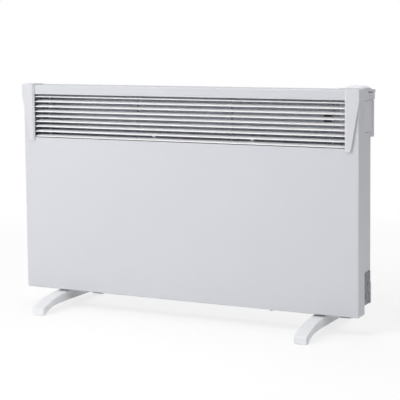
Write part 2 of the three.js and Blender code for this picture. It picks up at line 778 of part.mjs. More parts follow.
// A round spindle with one flat, grown by the play given.
function spindleSection(play, z0, z1) {
  const radius = spindleDiameter / 2 + play;
  const flat = spindleDiameter / 2 - 1.2 + play;
  return rod('z', radius, z0, z1, 24)
    .subtract(block(-radius - 1, radius + 1, flat, radius + 1, z0 - 1, z1 + 1));
}

function spindle() {
  const base = thermostatTop + 1 - fitGap;
  const body = spindleSection(0, base, knobHeight - knobWall - 0.5);
  return placeOnHood(piece('thermostat_spindle', body, zincSteel), fitGap);
}

function thermostat() {
  const half = thermostatSize / 2;
  const outline = roundedRect(-half, half, -half, half, thermostatRound);
  const can = barZ(outline, thermostatLow, thermostatTop, 1, 2);
  const bush = rod('z', bushDiameter / 2, thermostatTop - 1, -0.4, 24);
  const bore = rod('z', spindleDiameter / 2 + fitGap, thermostatTop + 0.5, overcut, 24);
  const zTab = thermostatLow + 8;
  const tabs = [-10, 0, 10].map((y) => block(-half - 6, -half + 1, y - 3.2, y + 3.2, zTab, zTab + 0.8));
  const mesh = piece('thermostat_body', join(can, bush, ...tabs).subtract(bore), blackNylon);
  return placeOnHood(mesh, 0);
}

// The sensing bulb stands over the air inlet, and its fine tube climbs to the thermostat.
function sensor() {
  const bulbLow = zTrayLow + sheet + fitGap;
  const bulbRadius = bulbDiameter / 2;
  const bulb = turned([
    [0, 0], [bulbRadius - 1, 0], [bulbRadius, 1], [bulbRadius, bulbLength - 3],
    [1.5, bulbLength], [0, bulbLength],
  ], 12).translate([sensorX, sensorY, bulbLow]);
  const end = zThermostatLow - fitGap;
  const route = new THREE.CatmullRomCurve3([
    new THREE.Vector3(sensorX, sensorY, bulbLow + bulbLength - 4),
    new THREE.Vector3(sensorX, sensorY, (bulbLow + zBay) / 2),
    new THREE.Vector3(sensorX, sensorY, zBay - 12),
    new THREE.Vector3(sensorX, sensorY, zBay + 12),
    new THREE.Vector3(sensorX + 6, sensorY + 2, (zBay + end) / 2),
    new THREE.Vector3(sensorX + 12, yThermostatLow, end - 8),
    new THREE.Vector3(sensorX + 12, yThermostatLow, end),
  ]);
  const section = new THREE.Shape().absarc(0, 0, capillaryDiameter / 2, 0, 2 * Math.PI);
  const tube = solid(new THREE.ExtrudeGeometry(section, { steps: 20, extrudePath: route, curveSegments: 3 }));
  return piece('sensor_bulb', bulb.add(tube), copper);
}

function terminalBlock() {
  const x0 = sensorX + 4;
  const length = 30;
  const z0 = zBay + housingWall + 2 * fitGap;
  const y0 = yCoverEnd + housingWall + 2;
  const y1 = y0 + 15;
  const base = block(x0, x0 + length, y0, y1, z0, z0 + 4);
  const ways = 3;
  const pitch = length / ways;
  const cells = Array.from({ length: ways }, (_, index) => {
    const x = x0 + index * pitch;
    const cell = block(x + 0.6, x + pitch - 0.6, y0 + 1, y1 - 1, z0 + 3, z0 + 13);
    const well = rod('z', 2.6, z0 + 7, z0 + 20, 16).translate([x + pitch / 2, (y0 + y1) / 2, 0]);
    return cell.subtract(well);
  });
  return piece('terminal_block', join(base, ...cells), ceramic);
}

function cableGland() {
  const bore = 3.6;
  const neck = glandHole / 2 - fitGap;
  const profile = [
    [bore, -15], [neck - 0.6, -15], [neck + 1.2, -10], [neck + 2.4, -fitGap],
    [neck, -fitGap], [neck, housingWall + fitGap], [neck - 1, housingWall + 2.4],
    [bore, housingWall + 2.4], [bore, -15],
  ];
  const mesh = piece('cable_gland', turned(profile, 20), blackNylon);
  return place(mesh, glandX, glandY, zHousingLow);
}

function thermalCutout() {
  const x1 = ribHalf - ribSheet / 2 - fitGap;
  const button = 5;
  const y0 = ySlatTail + 2;
  const z0 = zOutletLow + cutoutLift;
  const y1 = y0 + cutoutDepth;
  const can = barX(roundedRect(y0, y1, z0, z0 + cutoutHeight, 1.5), x1 - cutoutWidth, x1, 0, 3);
  const disc = rod('y', button, y1 - 1, y1 + 4, 20)
    .translate([x1 - cutoutWidth / 2, 0, z0 + cutoutHeight / 2]);
  return piece('thermal_cutout', can.add(disc), blackNylon);
}

// ---------------------------------------------------------------- heating element

// Extruded aluminium star: fins of unlike length fill a rounded envelope round the bore.
function elementFins() {
  const half = elementLength / 2;
  const reach = Math.hypot(elementDepth, elementHeight) / 2;
  const envelope = barX(
    roundedRect(-elementDepth / 2, elementDepth / 2, -elementHeight / 2, elementHeight / 2, 9),
    -half, half, 0, 3,
  );
  const fins = Array.from({ length: finCount / 2 }, (_, index) => block(
    -half, half, -reach, reach, -finSheet / 2, finSheet / 2,
  ).rotate([index * 360 / finCount + 18, 0, 0]));
  const star = join(...fins).intersect(envelope);
  const boss = rod('x', bossDiameter / 2, -half, half, 16);
  const kerfPitch = elementLength / (kerfCount + 1);
  const kerfs = Array.from({ length: kerfCount }, (_, index) => {
    const x = -half + (index + 1) * kerfPitch;
    return block(x - kerfWidth / 2, x + kerfWidth / 2, -reach, reach, -reach, reach);
  });
  const bore = rod('x', coreDiameter / 2 + fitGap, -half - 1, half + 1, 16);
  const body = join(cut(star, ...kerfs), boss).subtract(bore);
  return place(piece('element_fins', body, aluminium), elementShift, yElement, zElement);
}

function elementCore() {
  const half = elementLength / 2 + coreTail;
  const stud = 9;
  const body = join(
    rod('x', coreDiameter / 2, -half, half, 20),
    rod('x', 2, -half - stud, half + stud, 12),
    rod('x', 3.4, -half - stud / 2, -half - 1.5, 6),
    rod('x', 3.4, half + 1.5, half + stud / 2, 6),
  );
  return place(piece('element_core', body, zincSteel), elementShift, yElement, zElement);
}

function bracket(name, side) {
  const neckHole = insulatorNeck / 2 + fitGap;
  const yWall = yRear - sheet - fitGap;
  const x = bracketGap + bracketSheet / 2;
  const path = [
    [x, yElement - 15],
    [x, yWall - bracketSheet / 2],
    [x + bracketFlange, yWall - bracketSheet / 2],
  ];
  const strap = barZ(foldedStrip(path, bracketSheet), -bracketHeight / 2, bracketHeight / 2);
  const hole = rod('x', neckHole, 0, 2 * x, 24).translate([0, yElement, 0]);
  const body = strap.subtract(hole);
  const turnedBody = side > 0 ? body : body.mirror([1, 0, 0]);
  return place(piece(name, turnedBody, zincSteel), side > 0 ? xElement1 : xElement0, 0, zElement);
}

// A ceramic bush with a collar inside the bracket insulates the rod.
function insulator(name, side) {
  const bore = coreDiameter / 2 + fitGap;
  const neck = insulatorNeck / 2;
  const collar = insulatorCollar / 2;
  const collarEnd = bracketGap - fitGap;
  const end = bracketGap + bracketSheet + 5;
  const profile = [
    [bore, 1], [collar - 1, 1], [collar, 2], [collar, collarEnd - 1], [collar - 1, collarEnd],
    [neck, collarEnd], [neck, end - 1], [neck - 1, end], [bore, end], [bore, 1],
  ];
  const body = turned(profile, 12).rotate([0, 90 * side, 0]);
  return place(piece(name, body, ceramic), side > 0 ? xElement1 : xElement0, yElement, zElement);
}

// ---------------------------------------------------------------- stand

// Side view of one foot: a low arch from end to end, its toes rounded at the top.
function footSide() {
  const toe = footPadLength + 8;
  const knee = 42;
  const roundTop = 1.2;
  const shape = new THREE.Shape();
  shape.moveTo(-footEnd, padStand);
  shape.lineTo(-footEnd + footPadLength, padStand);
  shape.quadraticCurveTo(-footEnd + toe, footArch - 3, -footEnd + footArchRun, footArch);
  shape.lineTo(footEnd - footArchRun, footArch);
  shape.quadraticCurveTo(footEnd - toe, footArch - 3, footEnd - footPadLength, padStand);
  shape.lineTo(footEnd, padStand);
  shape.lineTo(footEnd, footNose - roundTop);
  shape.quadraticCurveTo(footEnd, footNose, footEnd - 2, footNose + roundTop);
  shape.quadraticCurveTo(footEnd - knee, footTop - 2.5, footEnd - footTopRun, footTop);
  shape.lineTo(-footEnd + footTopRun, footTop);
  shape.quadraticCurveTo(-footEnd + knee, footTop - 2.5, -footEnd + 2, footNose + roundTop);
  shape.quadraticCurveTo(-footEnd, footNose, -footEnd, footNose - roundTop);
  shape.closePath();
  return shape;
}

// Hollow below: the cells leave the skin, the cross ribs and the screw bosses standing.
function footCells() {
  const half = footWidth / 2 - footWall;
  const roof = footTop - footWall;
  const wide = footEnd - 26;
  const hollow = new THREE.Shape();
  hollow.moveTo(-wide, 0);
  hollow.lineTo(wide, 0);
  hollow.lineTo(wide, footNose + 1);
  hollow.quadraticCurveTo(footEnd - 46, roof - 4, footEnd - footTopRun, roof);
  hollow.lineTo(-footEnd + footTopRun, roof);
  hollow.quadraticCurveTo(-footEnd + 46, roof - 4, -wide, footNose + 1);
  hollow.closePath();
  const room = barX(hollow, -half, half, 0, 5);
  const boss = screwHeadWide / 2 + footWall;
  const wall = (y, thick) => block(-half - 1, half + 1, y - thick, y + thick, -1, standHeight);
  const walls = [-1, 1].flatMap((way) => [
    ...footRibY.map((y) => wall(way * y, footRib / 2)),
    wall(way * footScrewY, boss),
  ]);
  return cut(room, ...walls);
}

function foot(name, side) {
  const half = footWidth / 2;
  const arch = barX(footSide(), -half, half, footEdge, 5);
  const saddleHalf = half - footEdge;
  const saddle = barZ(
    roundedRect(-saddleHalf, saddleHalf, yFace + coverLip + 2, yRear - 4, 3),
    footTop - footWall, zSaddle, 0, 4,
  );
  const holes = [-1, 1].flatMap((way) => {
    const shank = rod('z', screwShank / 2 + screwPlay, -1, zSaddle + 1, 16);
    const head = rod('z', screwHeadWide / 2 + screwPlay, -1, zScrewSeat, 20);
    return [shank, head].map((tool) => tool.translate([0, way * footScrewY, 0]));
  });
  const recess = block(
    -padHalf - fitGap, padHalf + fitGap, -padReach - fitGap, padReach + fitGap, 0, padThickness + fitGap,
  );
  const recesses = [-1, 1].map((way) => recess.translate([0, way * yPad, 0]));
  const body = cut(join(arch, saddle), footCells(), ...holes, ...recesses);
  return place(piece(name, body, whiteAbs), side * footSpacing / 2, 0, 0);
}

function pads() {
  const names = ['front_left', 'front_right', 'rear_left', 'rear_right'];
  const body = barZ(roundedRect(-padHalf, padHalf, -padReach, padReach, 1), 0, padThickness, 0, 3);
  return names.map((name, index) => {
    const x = (index % 2 ? 1 : -1) * footSpacing / 2;
    const y = (index < 2 ? -1 : 1) * yPad;
    return place(piece(`pad_${name}`, body, rubber), x, y, 0);
  });
}

// A pan-head screw seated at z = 0 with its shank upwards.
function screwBody(shankLength) {
  const head = screwHeadWide / 2;
  const shank = screwShank / 2;
  const body = turned([
    [0, -screwHeadHigh], [head - 1.6, -screwHeadHigh], [head - 0.4, -screwHeadHigh + 0.8],
    [head, 0], [shank, 0], [shank, shankLength - 2], [0.6, shankLength], [0, shankLength],
  ], 8);
  const slot = block(-2.2, 2.2, -0.45, 0.45, -screwHeadHigh - 1, -screwHeadHigh + 1.1);
  return cut(body, slot, slot.rotate([0, 0, 90]));
}

function footScrews() {
  const body = screwBody(zSaddle + sheet + 4 - zScrewSeat);
  return [0, 1, 2, 3].map((index) => {
    const x = (index % 2 ? 1 : -1) * footSpacing / 2;
    const y = (index < 2 ? -1 : 1) * footScrewY;
    return place(piece(`foot_screw_${index + 1}`, body, zincSteel), x, y, zScrewSeat - fitGap);
  });
}

function coverScrews() {
  const body = screwBody(8);
  return lipScrewX.map((x, index) => place(
    piece(`cover_screw_${index + 1}`, body, zincSteel), x, yLipScrew, zLow - fitGap,
  ));
}

// Shoes on the rear sheet keep the casing off a wall behind it.
function wallSpacer(name, side) {
  const outer = trayHalf - 0.5;
  const x0 = side > 0 ? outer - spacerWidth : -outer;
  const z0 = zTrayLow - 2;
  const y0 = yRear + fitGap;
  const x1 = x0 + spacerWidth;
  const z1 = z0 + spacerHeight;
  const shoe = barY(roundedRect(x0, x1, z0, z1, 3), y0, y0 + spacerDepth, 1, 2);
  const pocket = block(
    x0 + spacerWall, x1 - spacerWall, y0 - 1, y0 + spacerDepth - 2, z0 + spacerWall, z1 - spacerWall,
  );
  const zWeb = (z0 + z1) / 2;
  const web = block(x0 + spacerWall - 1, x1 - spacerWall + 1, y0, y0 + spacerDepth - 1, zWeb - 1, zWeb + 1);
  return piece(name, cut(shoe, pocket).add(web), whiteAbs);
}

function blankPlate() {
  const x0 = trayHalf + fitGap;
  const z0 = zTrayLow + 2;
  const body = barX(
    roundedRect(yCoverEnd + plateMargin / 2, yRear - plateMargin, z0, z0 + plateHeight, 2),
    x0, x0 + plateSheet, 0, 3,
  );
  return piece('blank_plate', body, greyFoil);
}

// ---------------------------------------------------------------- assembly

function assembly(...pieces) {
  const group = new THREE.Group();
  group.add(...pieces);
  return group;
}

const casing = assembly(
  frontCover(), backPanel(), heatShield(), leftCap(), rightCap(), blankPlate(),
  wallSpacer('wall_spacer_left', -1), wallSpacer('wall_spacer_right', 1), ...coverScrews(),
);
const grille = assembly(
  ...Array.from({ length: slatCount }, (_, index) => slat(index)), ...ribs(),
);
const controls = assembly(
  controlHousing(), knob(), spindle(), thermostat(), sensor(), terminalBlock(), cableGland(),
  thermalCutout(),
);
const element = assembly(
  elementFins(), elementCore(), bracket('element_bracket_left', -1), bracket('element_bracket_right', 1),
  insulator('insulator_left', -1), insulator('insulator_right', 1),
);
const stand = assembly(foot('foot_left', -1), foot('foot_right', 1), ...pads(), ...footScrews());

const heater = assembly(casing, grille, controls, element, stand);

export default heater;
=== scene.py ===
import json
import math

import bmesh
import bpy
from mathutils import Matrix, Vector


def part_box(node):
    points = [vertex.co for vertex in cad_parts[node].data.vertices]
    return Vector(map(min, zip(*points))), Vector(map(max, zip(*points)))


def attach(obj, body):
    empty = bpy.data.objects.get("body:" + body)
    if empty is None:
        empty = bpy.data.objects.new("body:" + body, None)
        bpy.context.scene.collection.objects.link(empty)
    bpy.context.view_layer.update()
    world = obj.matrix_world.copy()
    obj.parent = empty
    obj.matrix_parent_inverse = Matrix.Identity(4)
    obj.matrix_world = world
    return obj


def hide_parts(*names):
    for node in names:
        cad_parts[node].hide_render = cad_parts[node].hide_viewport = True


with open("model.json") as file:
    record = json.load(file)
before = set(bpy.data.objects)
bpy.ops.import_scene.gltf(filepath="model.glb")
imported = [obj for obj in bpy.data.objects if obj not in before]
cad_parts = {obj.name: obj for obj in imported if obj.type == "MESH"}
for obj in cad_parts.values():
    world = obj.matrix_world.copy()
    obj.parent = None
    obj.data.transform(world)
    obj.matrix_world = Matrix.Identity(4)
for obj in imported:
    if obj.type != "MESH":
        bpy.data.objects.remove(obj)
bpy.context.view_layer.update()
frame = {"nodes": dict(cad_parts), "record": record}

bl_info = {
    "name": "Panel convector heater",
    "version": (1, 0, 0),
    "blender": (4, 5, 0),
    "location": "View3D > Sidebar > Heater",
    "description": "Builds the visible pieces of a panel convector heater around its engineering model",
    "category": "Object",
}

# Lengths below are in millimetres unless a comment says otherwise. X is to the right seen from
# the front, Y to the back and Z up, and the origin is on the floor under the casing.

MM = 0.001
GAP = 0.3      # clearance between pieces that fit into one another
REACH = 5      # how far a cutting shape stands past what it cuts
NEAR = 0.01    # how far from a plane a point still counts as lying on it


# ------------------------------------------------------------------ sizes and colours

def srgb(text):
    """Turns an sRGB hex colour into linear red, green, blue and alpha."""
    channels = [int(text[i:i + 2], 16) / 255 for i in (1, 3, 5)]
    linear = [c / 12.92 if c <= 0.04045 else ((c + 0.055) / 1.055) ** 2.4 for c in channels]
    return (*linear, 1.0)


def length(name, description, millimetres):
    return bpy.props.FloatProperty(
        name=name, description=description, default=millimetres * MM, min=0.0, precision=5,
        subtype="DISTANCE", unit="LENGTH",
    )


def colour(name, description, text):
    return bpy.props.FloatVectorProperty(
        name=name, description=description, default=srgb(text), size=4, min=0.0, max=1.0,
        subtype="COLOR",
    )


class HeaterCasingSizes(bpy.types.PropertyGroup):
    """Sizes of the folded sheet-steel pieces"""
    sheet: length("Sheet", "Thickness of the casing steel", 1.0)
    bend: length("Bend", "Outside radius of the folded edges", 2.0)
    lip: length("Lip", "Return along the bottom of the front cover", 14.0)
    outlet_margin: length("Outlet margin", "Top of the cover to the outlet", 20.0)
    outlet_height: length("Outlet height", "Height of the air outlet", 95.0)
    slat_sheet: length("Slat sheet", "Thickness of a louvre slat", 0.9)
    slat_bend: length("Slat bend", "Radius of the bends along a slat", 0.8)


class HeaterMouldingSizes(bpy.types.PropertyGroup):
    """Sizes of the plastic pieces"""
    wall: length("Wall", "Wall of the moulded caps and of the control housing", 2.0)
    cap_band: length("Cap band", "Height of a cap's side band", 24.0)
    cap_tip: length("Cap tip", "Width of a cap's lower tip", 12.8)
    cap_radius: length("Cap radius", "Corner radius of a cap's tip and of the hood", 3.0)
    cap_slope: length("Cap slope", "Width of the slope along a cap's inner edge", 4.0)
    cap_corner: length("Cap corner", "Radius of a cap's upper outer corner", 1.6)
    edge: length("Edge", "Rounding of a cap's front edges", 0.9)
    reveal: length("Reveal", "Shadow gap round the control housing's side", 1.0)
    housing_corner: length("Housing corner", "Radius of the control housing's corners", 2.0)
    housing_groove: length("Housing groove", "Depth of the groove down the housing's side", 1.5)
    bay_height: length("Bay height", "Top of the cover to the lower end of the control bay", 87.0)
    spigot_inset: length("Spigot inset", "Housing's side to the spigot under the hood", 2.4)
    hood_fall: length("Hood fall", "Height the hood's top loses towards the rear", 5.0)
    vent_drop: length("Vent drop", "Side vent below the hood's top", 5.5)
    vent_height: length("Vent height", "Height of the side vent", 1.9)
    vent_length: length("Vent length", "Length of the side vent and of the grooves under it", 30.0)
    knob_top: length("Knob top", "Diameter of the knob's flat top", 30.0)
    knob_height: length("Knob height", "Height of the knob's dome", 5.7)
    spindle: length("Spindle", "Diameter of the thermostat's spindle", 6.0)
    foot_arch: length("Foot arch", "Floor to the underside of a foot", 15.5)
    foot_arch_run: length("Foot arch run", "End of a foot to the level part of its arch", 66.0)
    foot_top_run: length("Foot top run", "End of a foot to the level part of its top", 92.0)
    foot_nose: length("Foot nose", "Height of a foot's end", 14.5)
    foot_wall: length("Foot wall", "Wall of the feet, which are hollow below", 2.5)


class HeaterColours(bpy.types.PropertyGroup):
    """Colours of the finishes"""
    casing: colour("Casing", "Powder coat of the casing", "#d1d3d8")
    slats: colour("Slats", "Enamel of the louvre slats", "#fbfbfc")
    moulding: colour("Moulding", "Caps, hood, housing and wall spacers", "#d6d7db")
    knob: colour("Knob", "Thermostat knob", "#eaecef")
    feet: colour("Feet", "Feet, a brighter white than the caps", "#ebecee")
    plate: colour("Plate", "Bare foil plate on the side", "#8d9097")
    rubber: colour("Rubber", "Foot pads", "#2c2d30")
    floor: colour("Floor", "Studio floor", "#fbfbfb")


def sizes(group):
    """The sizes of one property group in millimetres, by name."""
    values = getattr(bpy.context.scene, group)
    return {key: getattr(values, key) / MM for key in values.__annotations__}


def shade(name):
    """One of the colours as red, green, blue and alpha."""
    return tuple(getattr(bpy.context.scene.heater_colours, name))


def box(node):
    """Lowest and highest corner of a node in millimetres."""
    low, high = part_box(node)
    return low / MM, high / MM


# ------------------------------------------------------------------ mesh helpers

def point(axis, across, up, along):
    """A point given in the plane that the axis crosses: Y and Z, X and Z, or X and Y."""
    places = {"X": (along, across, up), "Y": (across, along, up), "Z": (across, up, along)}
    return Vector(places[axis])


def box_mesh(low, high):
    bm = bmesh.new()
    middle = (Vector(low) + Vector(high)) / 2
    scale = Matrix.Diagonal((*(Vector(high) - Vector(low)), 1.0))
    bmesh.ops.create_cube(bm, size=1.0, matrix=Matrix.Translation(middle) @ scale)
    return bm


def prism(outline, axis, start, end, rounds=None):
    """Extrudes an outline along an axis; rounds gives corner radii by the outline's point number."""
    bm = bmesh.new()
    verts = [bm.verts.new(point(axis, a, b, start)) for a, b in outline]
    bm.faces.new(verts)
    for index, radius in (rounds or {}).items():
        bmesh.ops.bevel(
            bm, geom=[verts[index]], offset=radius, segments=6, profile=0.5, affect="VERTICES",
            material=-1,
        )
    sides = bmesh.ops.extrude_face_region(bm, geom=list(bm.faces))["geom"]
    far = [item for item in sides if isinstance(item, bmesh.types.BMVert)]
    bmesh.ops.translate(bm, verts=far, vec=point(axis, 0, 0, end - start))
    bmesh.ops.recalc_face_normals(bm, faces=list(bm.faces))
    return bm


def round_edges(bm, radius, chosen, segments):
    """Rounds the edges for which chosen(edge) is true."""
    edges = [edge for edge in bm.edges if chosen(edge)]
    bmesh.ops.bevel(
        bm, geom=edges, offset=radius, segments=segments, profile=0.5, affect="EDGES", material=-1,
        clamp_overlap=True,
    )


def rounded_block(low, high, radius):
    """A block whose four upright edges are rounded."""
    bm = box_mesh(low, high)
    round_edges(bm, radius, lambda edge: abs(edge.verts[0].co.z - edge.verts[1].co.z) > NEAR, 5)
    return bm


def spun(profile, steps):
    """Turns a profile of radius and height points round the Z axis."""
    bm = bmesh.new()
    verts = [bm.verts.new((radius, 0.0, height)) for radius, height in profile]
    edges = [bm.edges.new(pair) for pair in zip(verts, verts[1:])]
    bmesh.ops.spin(
        bm, geom=verts + edges, cent=(0, 0, 0), axis=(0, 0, 1), angle=2 * math.pi, steps=steps,
        use_merge=True,
    )
    bmesh.ops.remove_doubles(bm, verts=list(bm.verts), dist=1e-4)
    bmesh.ops.recalc_face_normals(bm, faces=list(bm.faces))
    return bm


def upright_rod(radius, low, high, steps, x=0.0, y=0.0):
    """A closed rod along Z, its middle at x and y."""
    bm = spun([(0, low), (radius, low), (radius, high), (0, high)], steps)
    bmesh.ops.translate(bm, verts=list(bm.verts), vec=(x, y, 0))
    return bm


def quadratic(start, control, end, steps):
    """Points of a quadratic curve after its start, up to and with its end."""
    places = [(step + 1) / steps for step in range(steps)]
    return [
        tuple((1 - t) ** 2 * a + 2 * t * (1 - t) * b + t * t * c for a, b, c in zip(start, control, end))
        for t in places
    ]


def mirrored(points):
    """The points of an outline on the other side of its middle, in reverse order."""
    return [(-across, up) for across, up in reversed(points)]


def combine(body, tool, operation):
    """Joins or cuts one closed mesh with another."""
    objects = []
    for bm in (body, tool):
        mesh = bpy.data.meshes.new("tool")
        bm.to_mesh(mesh)
        bm.free()
        objects.append(bpy.data.objects.new("tool", mesh))
        bpy.context.scene.collection.objects.link(objects[-1])
    modifier = objects[0].modifiers.new("combine", "BOOLEAN")
    modifier.operation = operation
    modifier.solver = "EXACT"
    modifier.object = objects[1]
    bpy.context.view_layer.update()
    evaluated = objects[0].evaluated_get(bpy.context.evaluated_depsgraph_get())
    result = bmesh.new()
    result.from_mesh(evaluated.to_mesh())
    evaluated.to_mesh_clear()
    for item in objects:
        mesh = item.data
        bpy.data.objects.remove(item)
        bpy.data.meshes.remove(mesh)
    bmesh.ops.remove_doubles(result, verts=list(result.verts), dist=1e-4)
    if not result.faces:
        raise RuntimeError("a boolean left nothing")
    return result


def cut(body, *tools):
    for tool in tools:
        body = combine(body, tool, "DIFFERENCE")
    return body


def joined(body, *tools):
    for tool in tools:
        body = combine(body, tool, "UNION")
    return body


def split(bm, plane, normal, chosen):
    """Cuts the faces whose middles are chosen along a plane."""
    faces = [face for face in bm.faces if chosen(face.calc_center_median())]
    edges = {edge for face in faces for edge in face.edges}
    verts = {vert for face in faces for vert in face.verts}
    bmesh.ops.bisect_plane(
        bm, geom=faces + list(edges) + list(verts), dist=1e-5, plane_co=plane, plane_no=normal,
    )


def drop(bm, chosen):
    """Deletes the faces whose middles are chosen."""
    faces = [face for face in bm.faces if chosen(face.calc_center_median())]
    bmesh.ops.delete(bm, geom=faces, context="FACES")


def face_outwards(bm):
    """Turns an open shell's faces away from its middle."""
    bmesh.ops.recalc_face_normals(bm, faces=list(bm.faces))
    middle = sum((vert.co for vert in bm.verts), Vector()) / len(bm.verts)
    outward = sum(
        face.normal.dot(face.calc_center_median() - middle) * face.calc_area() for face in bm.faces
    )
    if outward < 0:
        bmesh.ops.reverse_faces(bm, faces=list(bm.faces))


def face_upwards(bm):
    """Turns a strip's faces so that most of it looks up."""
    bmesh.ops.recalc_face_normals(bm, faces=list(bm.faces))
    if sum(face.normal.z * face.calc_area() for face in bm.faces) < 0:
        bmesh.ops.reverse_faces(bm, faces=list(bm.faces))


def finish(
    name, bm, material, replaces=(), body="root", sharp=32.0, bevel=0.0, sheet=0.0,
):
    """Makes a finished piece of a mesh in millimetres and ties it to the frame."""
    bmesh.ops.remove_doubles(bm, verts=list(bm.verts), dist=1e-4)
    bmesh.ops.scale(bm, verts=list(bm.verts), vec=(MM, MM, MM))
    mesh = bpy.data.meshes.new(name)
    bm.to_mesh(mesh)
    bm.free()
    mesh.shade_smooth()
    mesh.set_sharp_from_angle(angle=math.radians(sharp))
    piece = bpy.data.objects.new(name, mesh)
    bpy.context.scene.collection.objects.link(piece)
    mesh.materials.append(material)
    if sheet:
        wall = piece.modifiers.new("sheet", "SOLIDIFY")
        wall.thickness = sheet * MM
        wall.offset = -1.0
        wall.use_even_offset = True
    if bevel:
        soft = piece.modifiers.new("soft edges", "BEVEL")
        soft.width = bevel * MM
        soft.segments = 2
        soft.limit_method = "ANGLE"
        soft.angle_limit = math.radians(sharp)
        soft.harden_normals = False
    weighted = piece.modifiers.new("flat faces", "WEIGHTED_NORMAL")
    weighted.keep_sharp = True
    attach(piece, body)
    if replaces:
        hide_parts(*replaces)
    return piece


# ------------------------------------------------------------------ materials

NOISE_REACH = {"From Min": 0.3, "From Max": 0.7}    # between these lies nearly all of a noise
COLOUR_MIX = {"data_type": "RGBA"}
FIRST_COLOUR = 6     # a Mix node's sockets share their names, so its colours go by number
SECOND_COLOUR = 7
MIXED_COLOUR = 2


def add_node(tree, kind, settings=None, inputs=None):
    """Adds a node with its settings, its values and what is linked to it."""
    node = tree.nodes.new(kind)
    for name, value in (settings or {}).items():
        setattr(node, name, value)
    for name, value in (inputs or {}).items():
        if isinstance(value, bpy.types.NodeSocket):
            tree.links.new(value, node.inputs[name])
        else:
            node.inputs[name].default_value = value
    return node


def blank_material(name):
    """A material and its empty node tree, or no tree when the material is there already."""
    material = bpy.data.materials.get(name)
    if material:
        return material, None
    material = bpy.data.materials.new(name)
    material.use_nodes = True
    material.node_tree.nodes.clear()
    return material, material.node_tree


def per_metre(millimetres):
    """Texture scale of a pattern that repeats after about so many millimetres."""
    return 1 / (millimetres * MM)


def scaled(colour_value, factor):
    """A colour made darker or lighter by a factor."""
    return (*(min(channel * factor, 1.0) for channel in colour_value[:3]), 1.0)


def painted(name, colour_value, roughness, peel_size, peel_depth):
    """Sprayed and baked paint: a soft sheen, a faint orange peel and a trace of uneven film."""
    material, tree = blank_material(name)
    if tree:
        where = add_node(tree, "ShaderNodeTexCoord").outputs["Object"]
        film = add_node(tree, "ShaderNodeTexNoise", inputs={
            "Vector": where, "Scale": per_metre(90.0), "Detail": 2.0, "Roughness": 0.5,
        }).outputs["Fac"]
        peel = add_node(tree, "ShaderNodeTexNoise", inputs={
            "Vector": where, "Scale": per_metre(peel_size), "Detail": 1.0, "Roughness": 0.5,
        }).outputs["Fac"]
        tone = add_node(tree, "ShaderNodeMix", COLOUR_MIX, {
            "Factor": film, FIRST_COLOUR: colour_value, SECOND_COLOUR: scaled(colour_value, 0.98),
        }).outputs[MIXED_COLOUR]
        sheen = add_node(tree, "ShaderNodeMapRange", inputs={
            "Value": film, **NOISE_REACH, "To Min": roughness - 0.03, "To Max": roughness + 0.03,
        }).outputs["Result"]
        relief = add_node(tree, "ShaderNodeBump", inputs={
            "Height": peel, "Strength": 0.35, "Distance": peel_depth * MM,
        }).outputs["Normal"]
        shader = add_node(tree, "ShaderNodeBsdfPrincipled", inputs={
            "Base Color": tone, "Roughness": sheen, "Normal": relief, "IOR": 1.5,
        }).outputs["BSDF"]
        add_node(tree, "ShaderNodeOutputMaterial", inputs={"Surface": shader})
    return material


def powder_coat():
    """Satin white powder coat on folded sheet: the peel breaks up the lamps' reflections."""
    return painted("powder_coated_steel", shade("casing"), 0.5, 1.6, 0.02)


def slat_enamel():
    """Brighter stove enamel of the slats, a little glossier than the powder coat."""
    return painted("stove_enamelled_steel", shade("slats"), 0.34, 1.2, 0.01)


def moulded(name, colour_value, roughness, grain_depth, ior=1.53):
    """Injection-moulded plastic with its tool's fine grain, drawn 0.6 mm coarse to show at all."""
    material, tree = blank_material(name)
    if tree:
        where = add_node(tree, "ShaderNodeTexCoord").outputs["Object"]
        flow = add_node(tree, "ShaderNodeTexNoise", inputs={
            "Vector": where, "Scale": per_metre(40.0), "Detail": 2.0, "Roughness": 0.5,
        }).outputs["Fac"]
        grain = add_node(tree, "ShaderNodeTexNoise", inputs={
            "Vector": where, "Scale": per_metre(0.6), "Detail": 2.0, "Roughness": 0.6,
        }).outputs["Fac"]
        tone = add_node(tree, "ShaderNodeMix", COLOUR_MIX, {
            "Factor": flow, FIRST_COLOUR: colour_value, SECOND_COLOUR: scaled(colour_value, 0.985),
        }).outputs[MIXED_COLOUR]
        sheen = add_node(tree, "ShaderNodeMapRange", inputs={
            "Value": grain, **NOISE_REACH, "To Min": roughness - 0.05, "To Max": roughness + 0.05,
        }).outputs["Result"]
        relief = add_node(tree, "ShaderNodeBump", inputs={
            "Height": grain, "Strength": 0.4, "Distance": grain_depth * MM,
        }).outputs["Normal"]
        shader = add_node(tree, "ShaderNodeBsdfPrincipled", inputs={
            "Base Color": tone, "Roughness": sheen, "Normal": relief, "IOR": ior,
        }).outputs["BSDF"]
        add_node(tree, "ShaderNodeOutputMaterial", inputs={"Surface": shader})
    return material


def moulded_abs():
    """White ABS with a matt tool grain, so the caps look softer than the painted sheet beside them."""
    return moulded("moulded_white_abs", shade("moulding"), 0.46, 0.02)


def foot_abs():
    """Brighter white ABS of the feet, moulded with the same matt grain."""
    return moulded("moulded_bright_abs", shade("feet"), 0.42, 0.02)


def polished_abs():
    """White ABS from a polished tool: the knob has a soft gloss and next to no grain."""
    return moulded("polished_white_abs", shade("knob"), 0.36, 0.004)


def black_nylon():
    """Glass-filled black nylon: matt, with a grey bloom from the fibres."""
    return moulded("moulded_black_nylon", srgb("#26272a"), 0.55, 0.03)


def steatite():
    """Unglazed steatite, cream and slightly mottled."""
    return moulded("pressed_steatite", srgb("#e3dccb"), 0.6, 0.05, 1.6)


def moulded_rubber():
    """Dark moulded rubber, dead matt."""
    return moulded("moulded_rubber", shade("rubber"), 0.85, 0.05, 1.52)


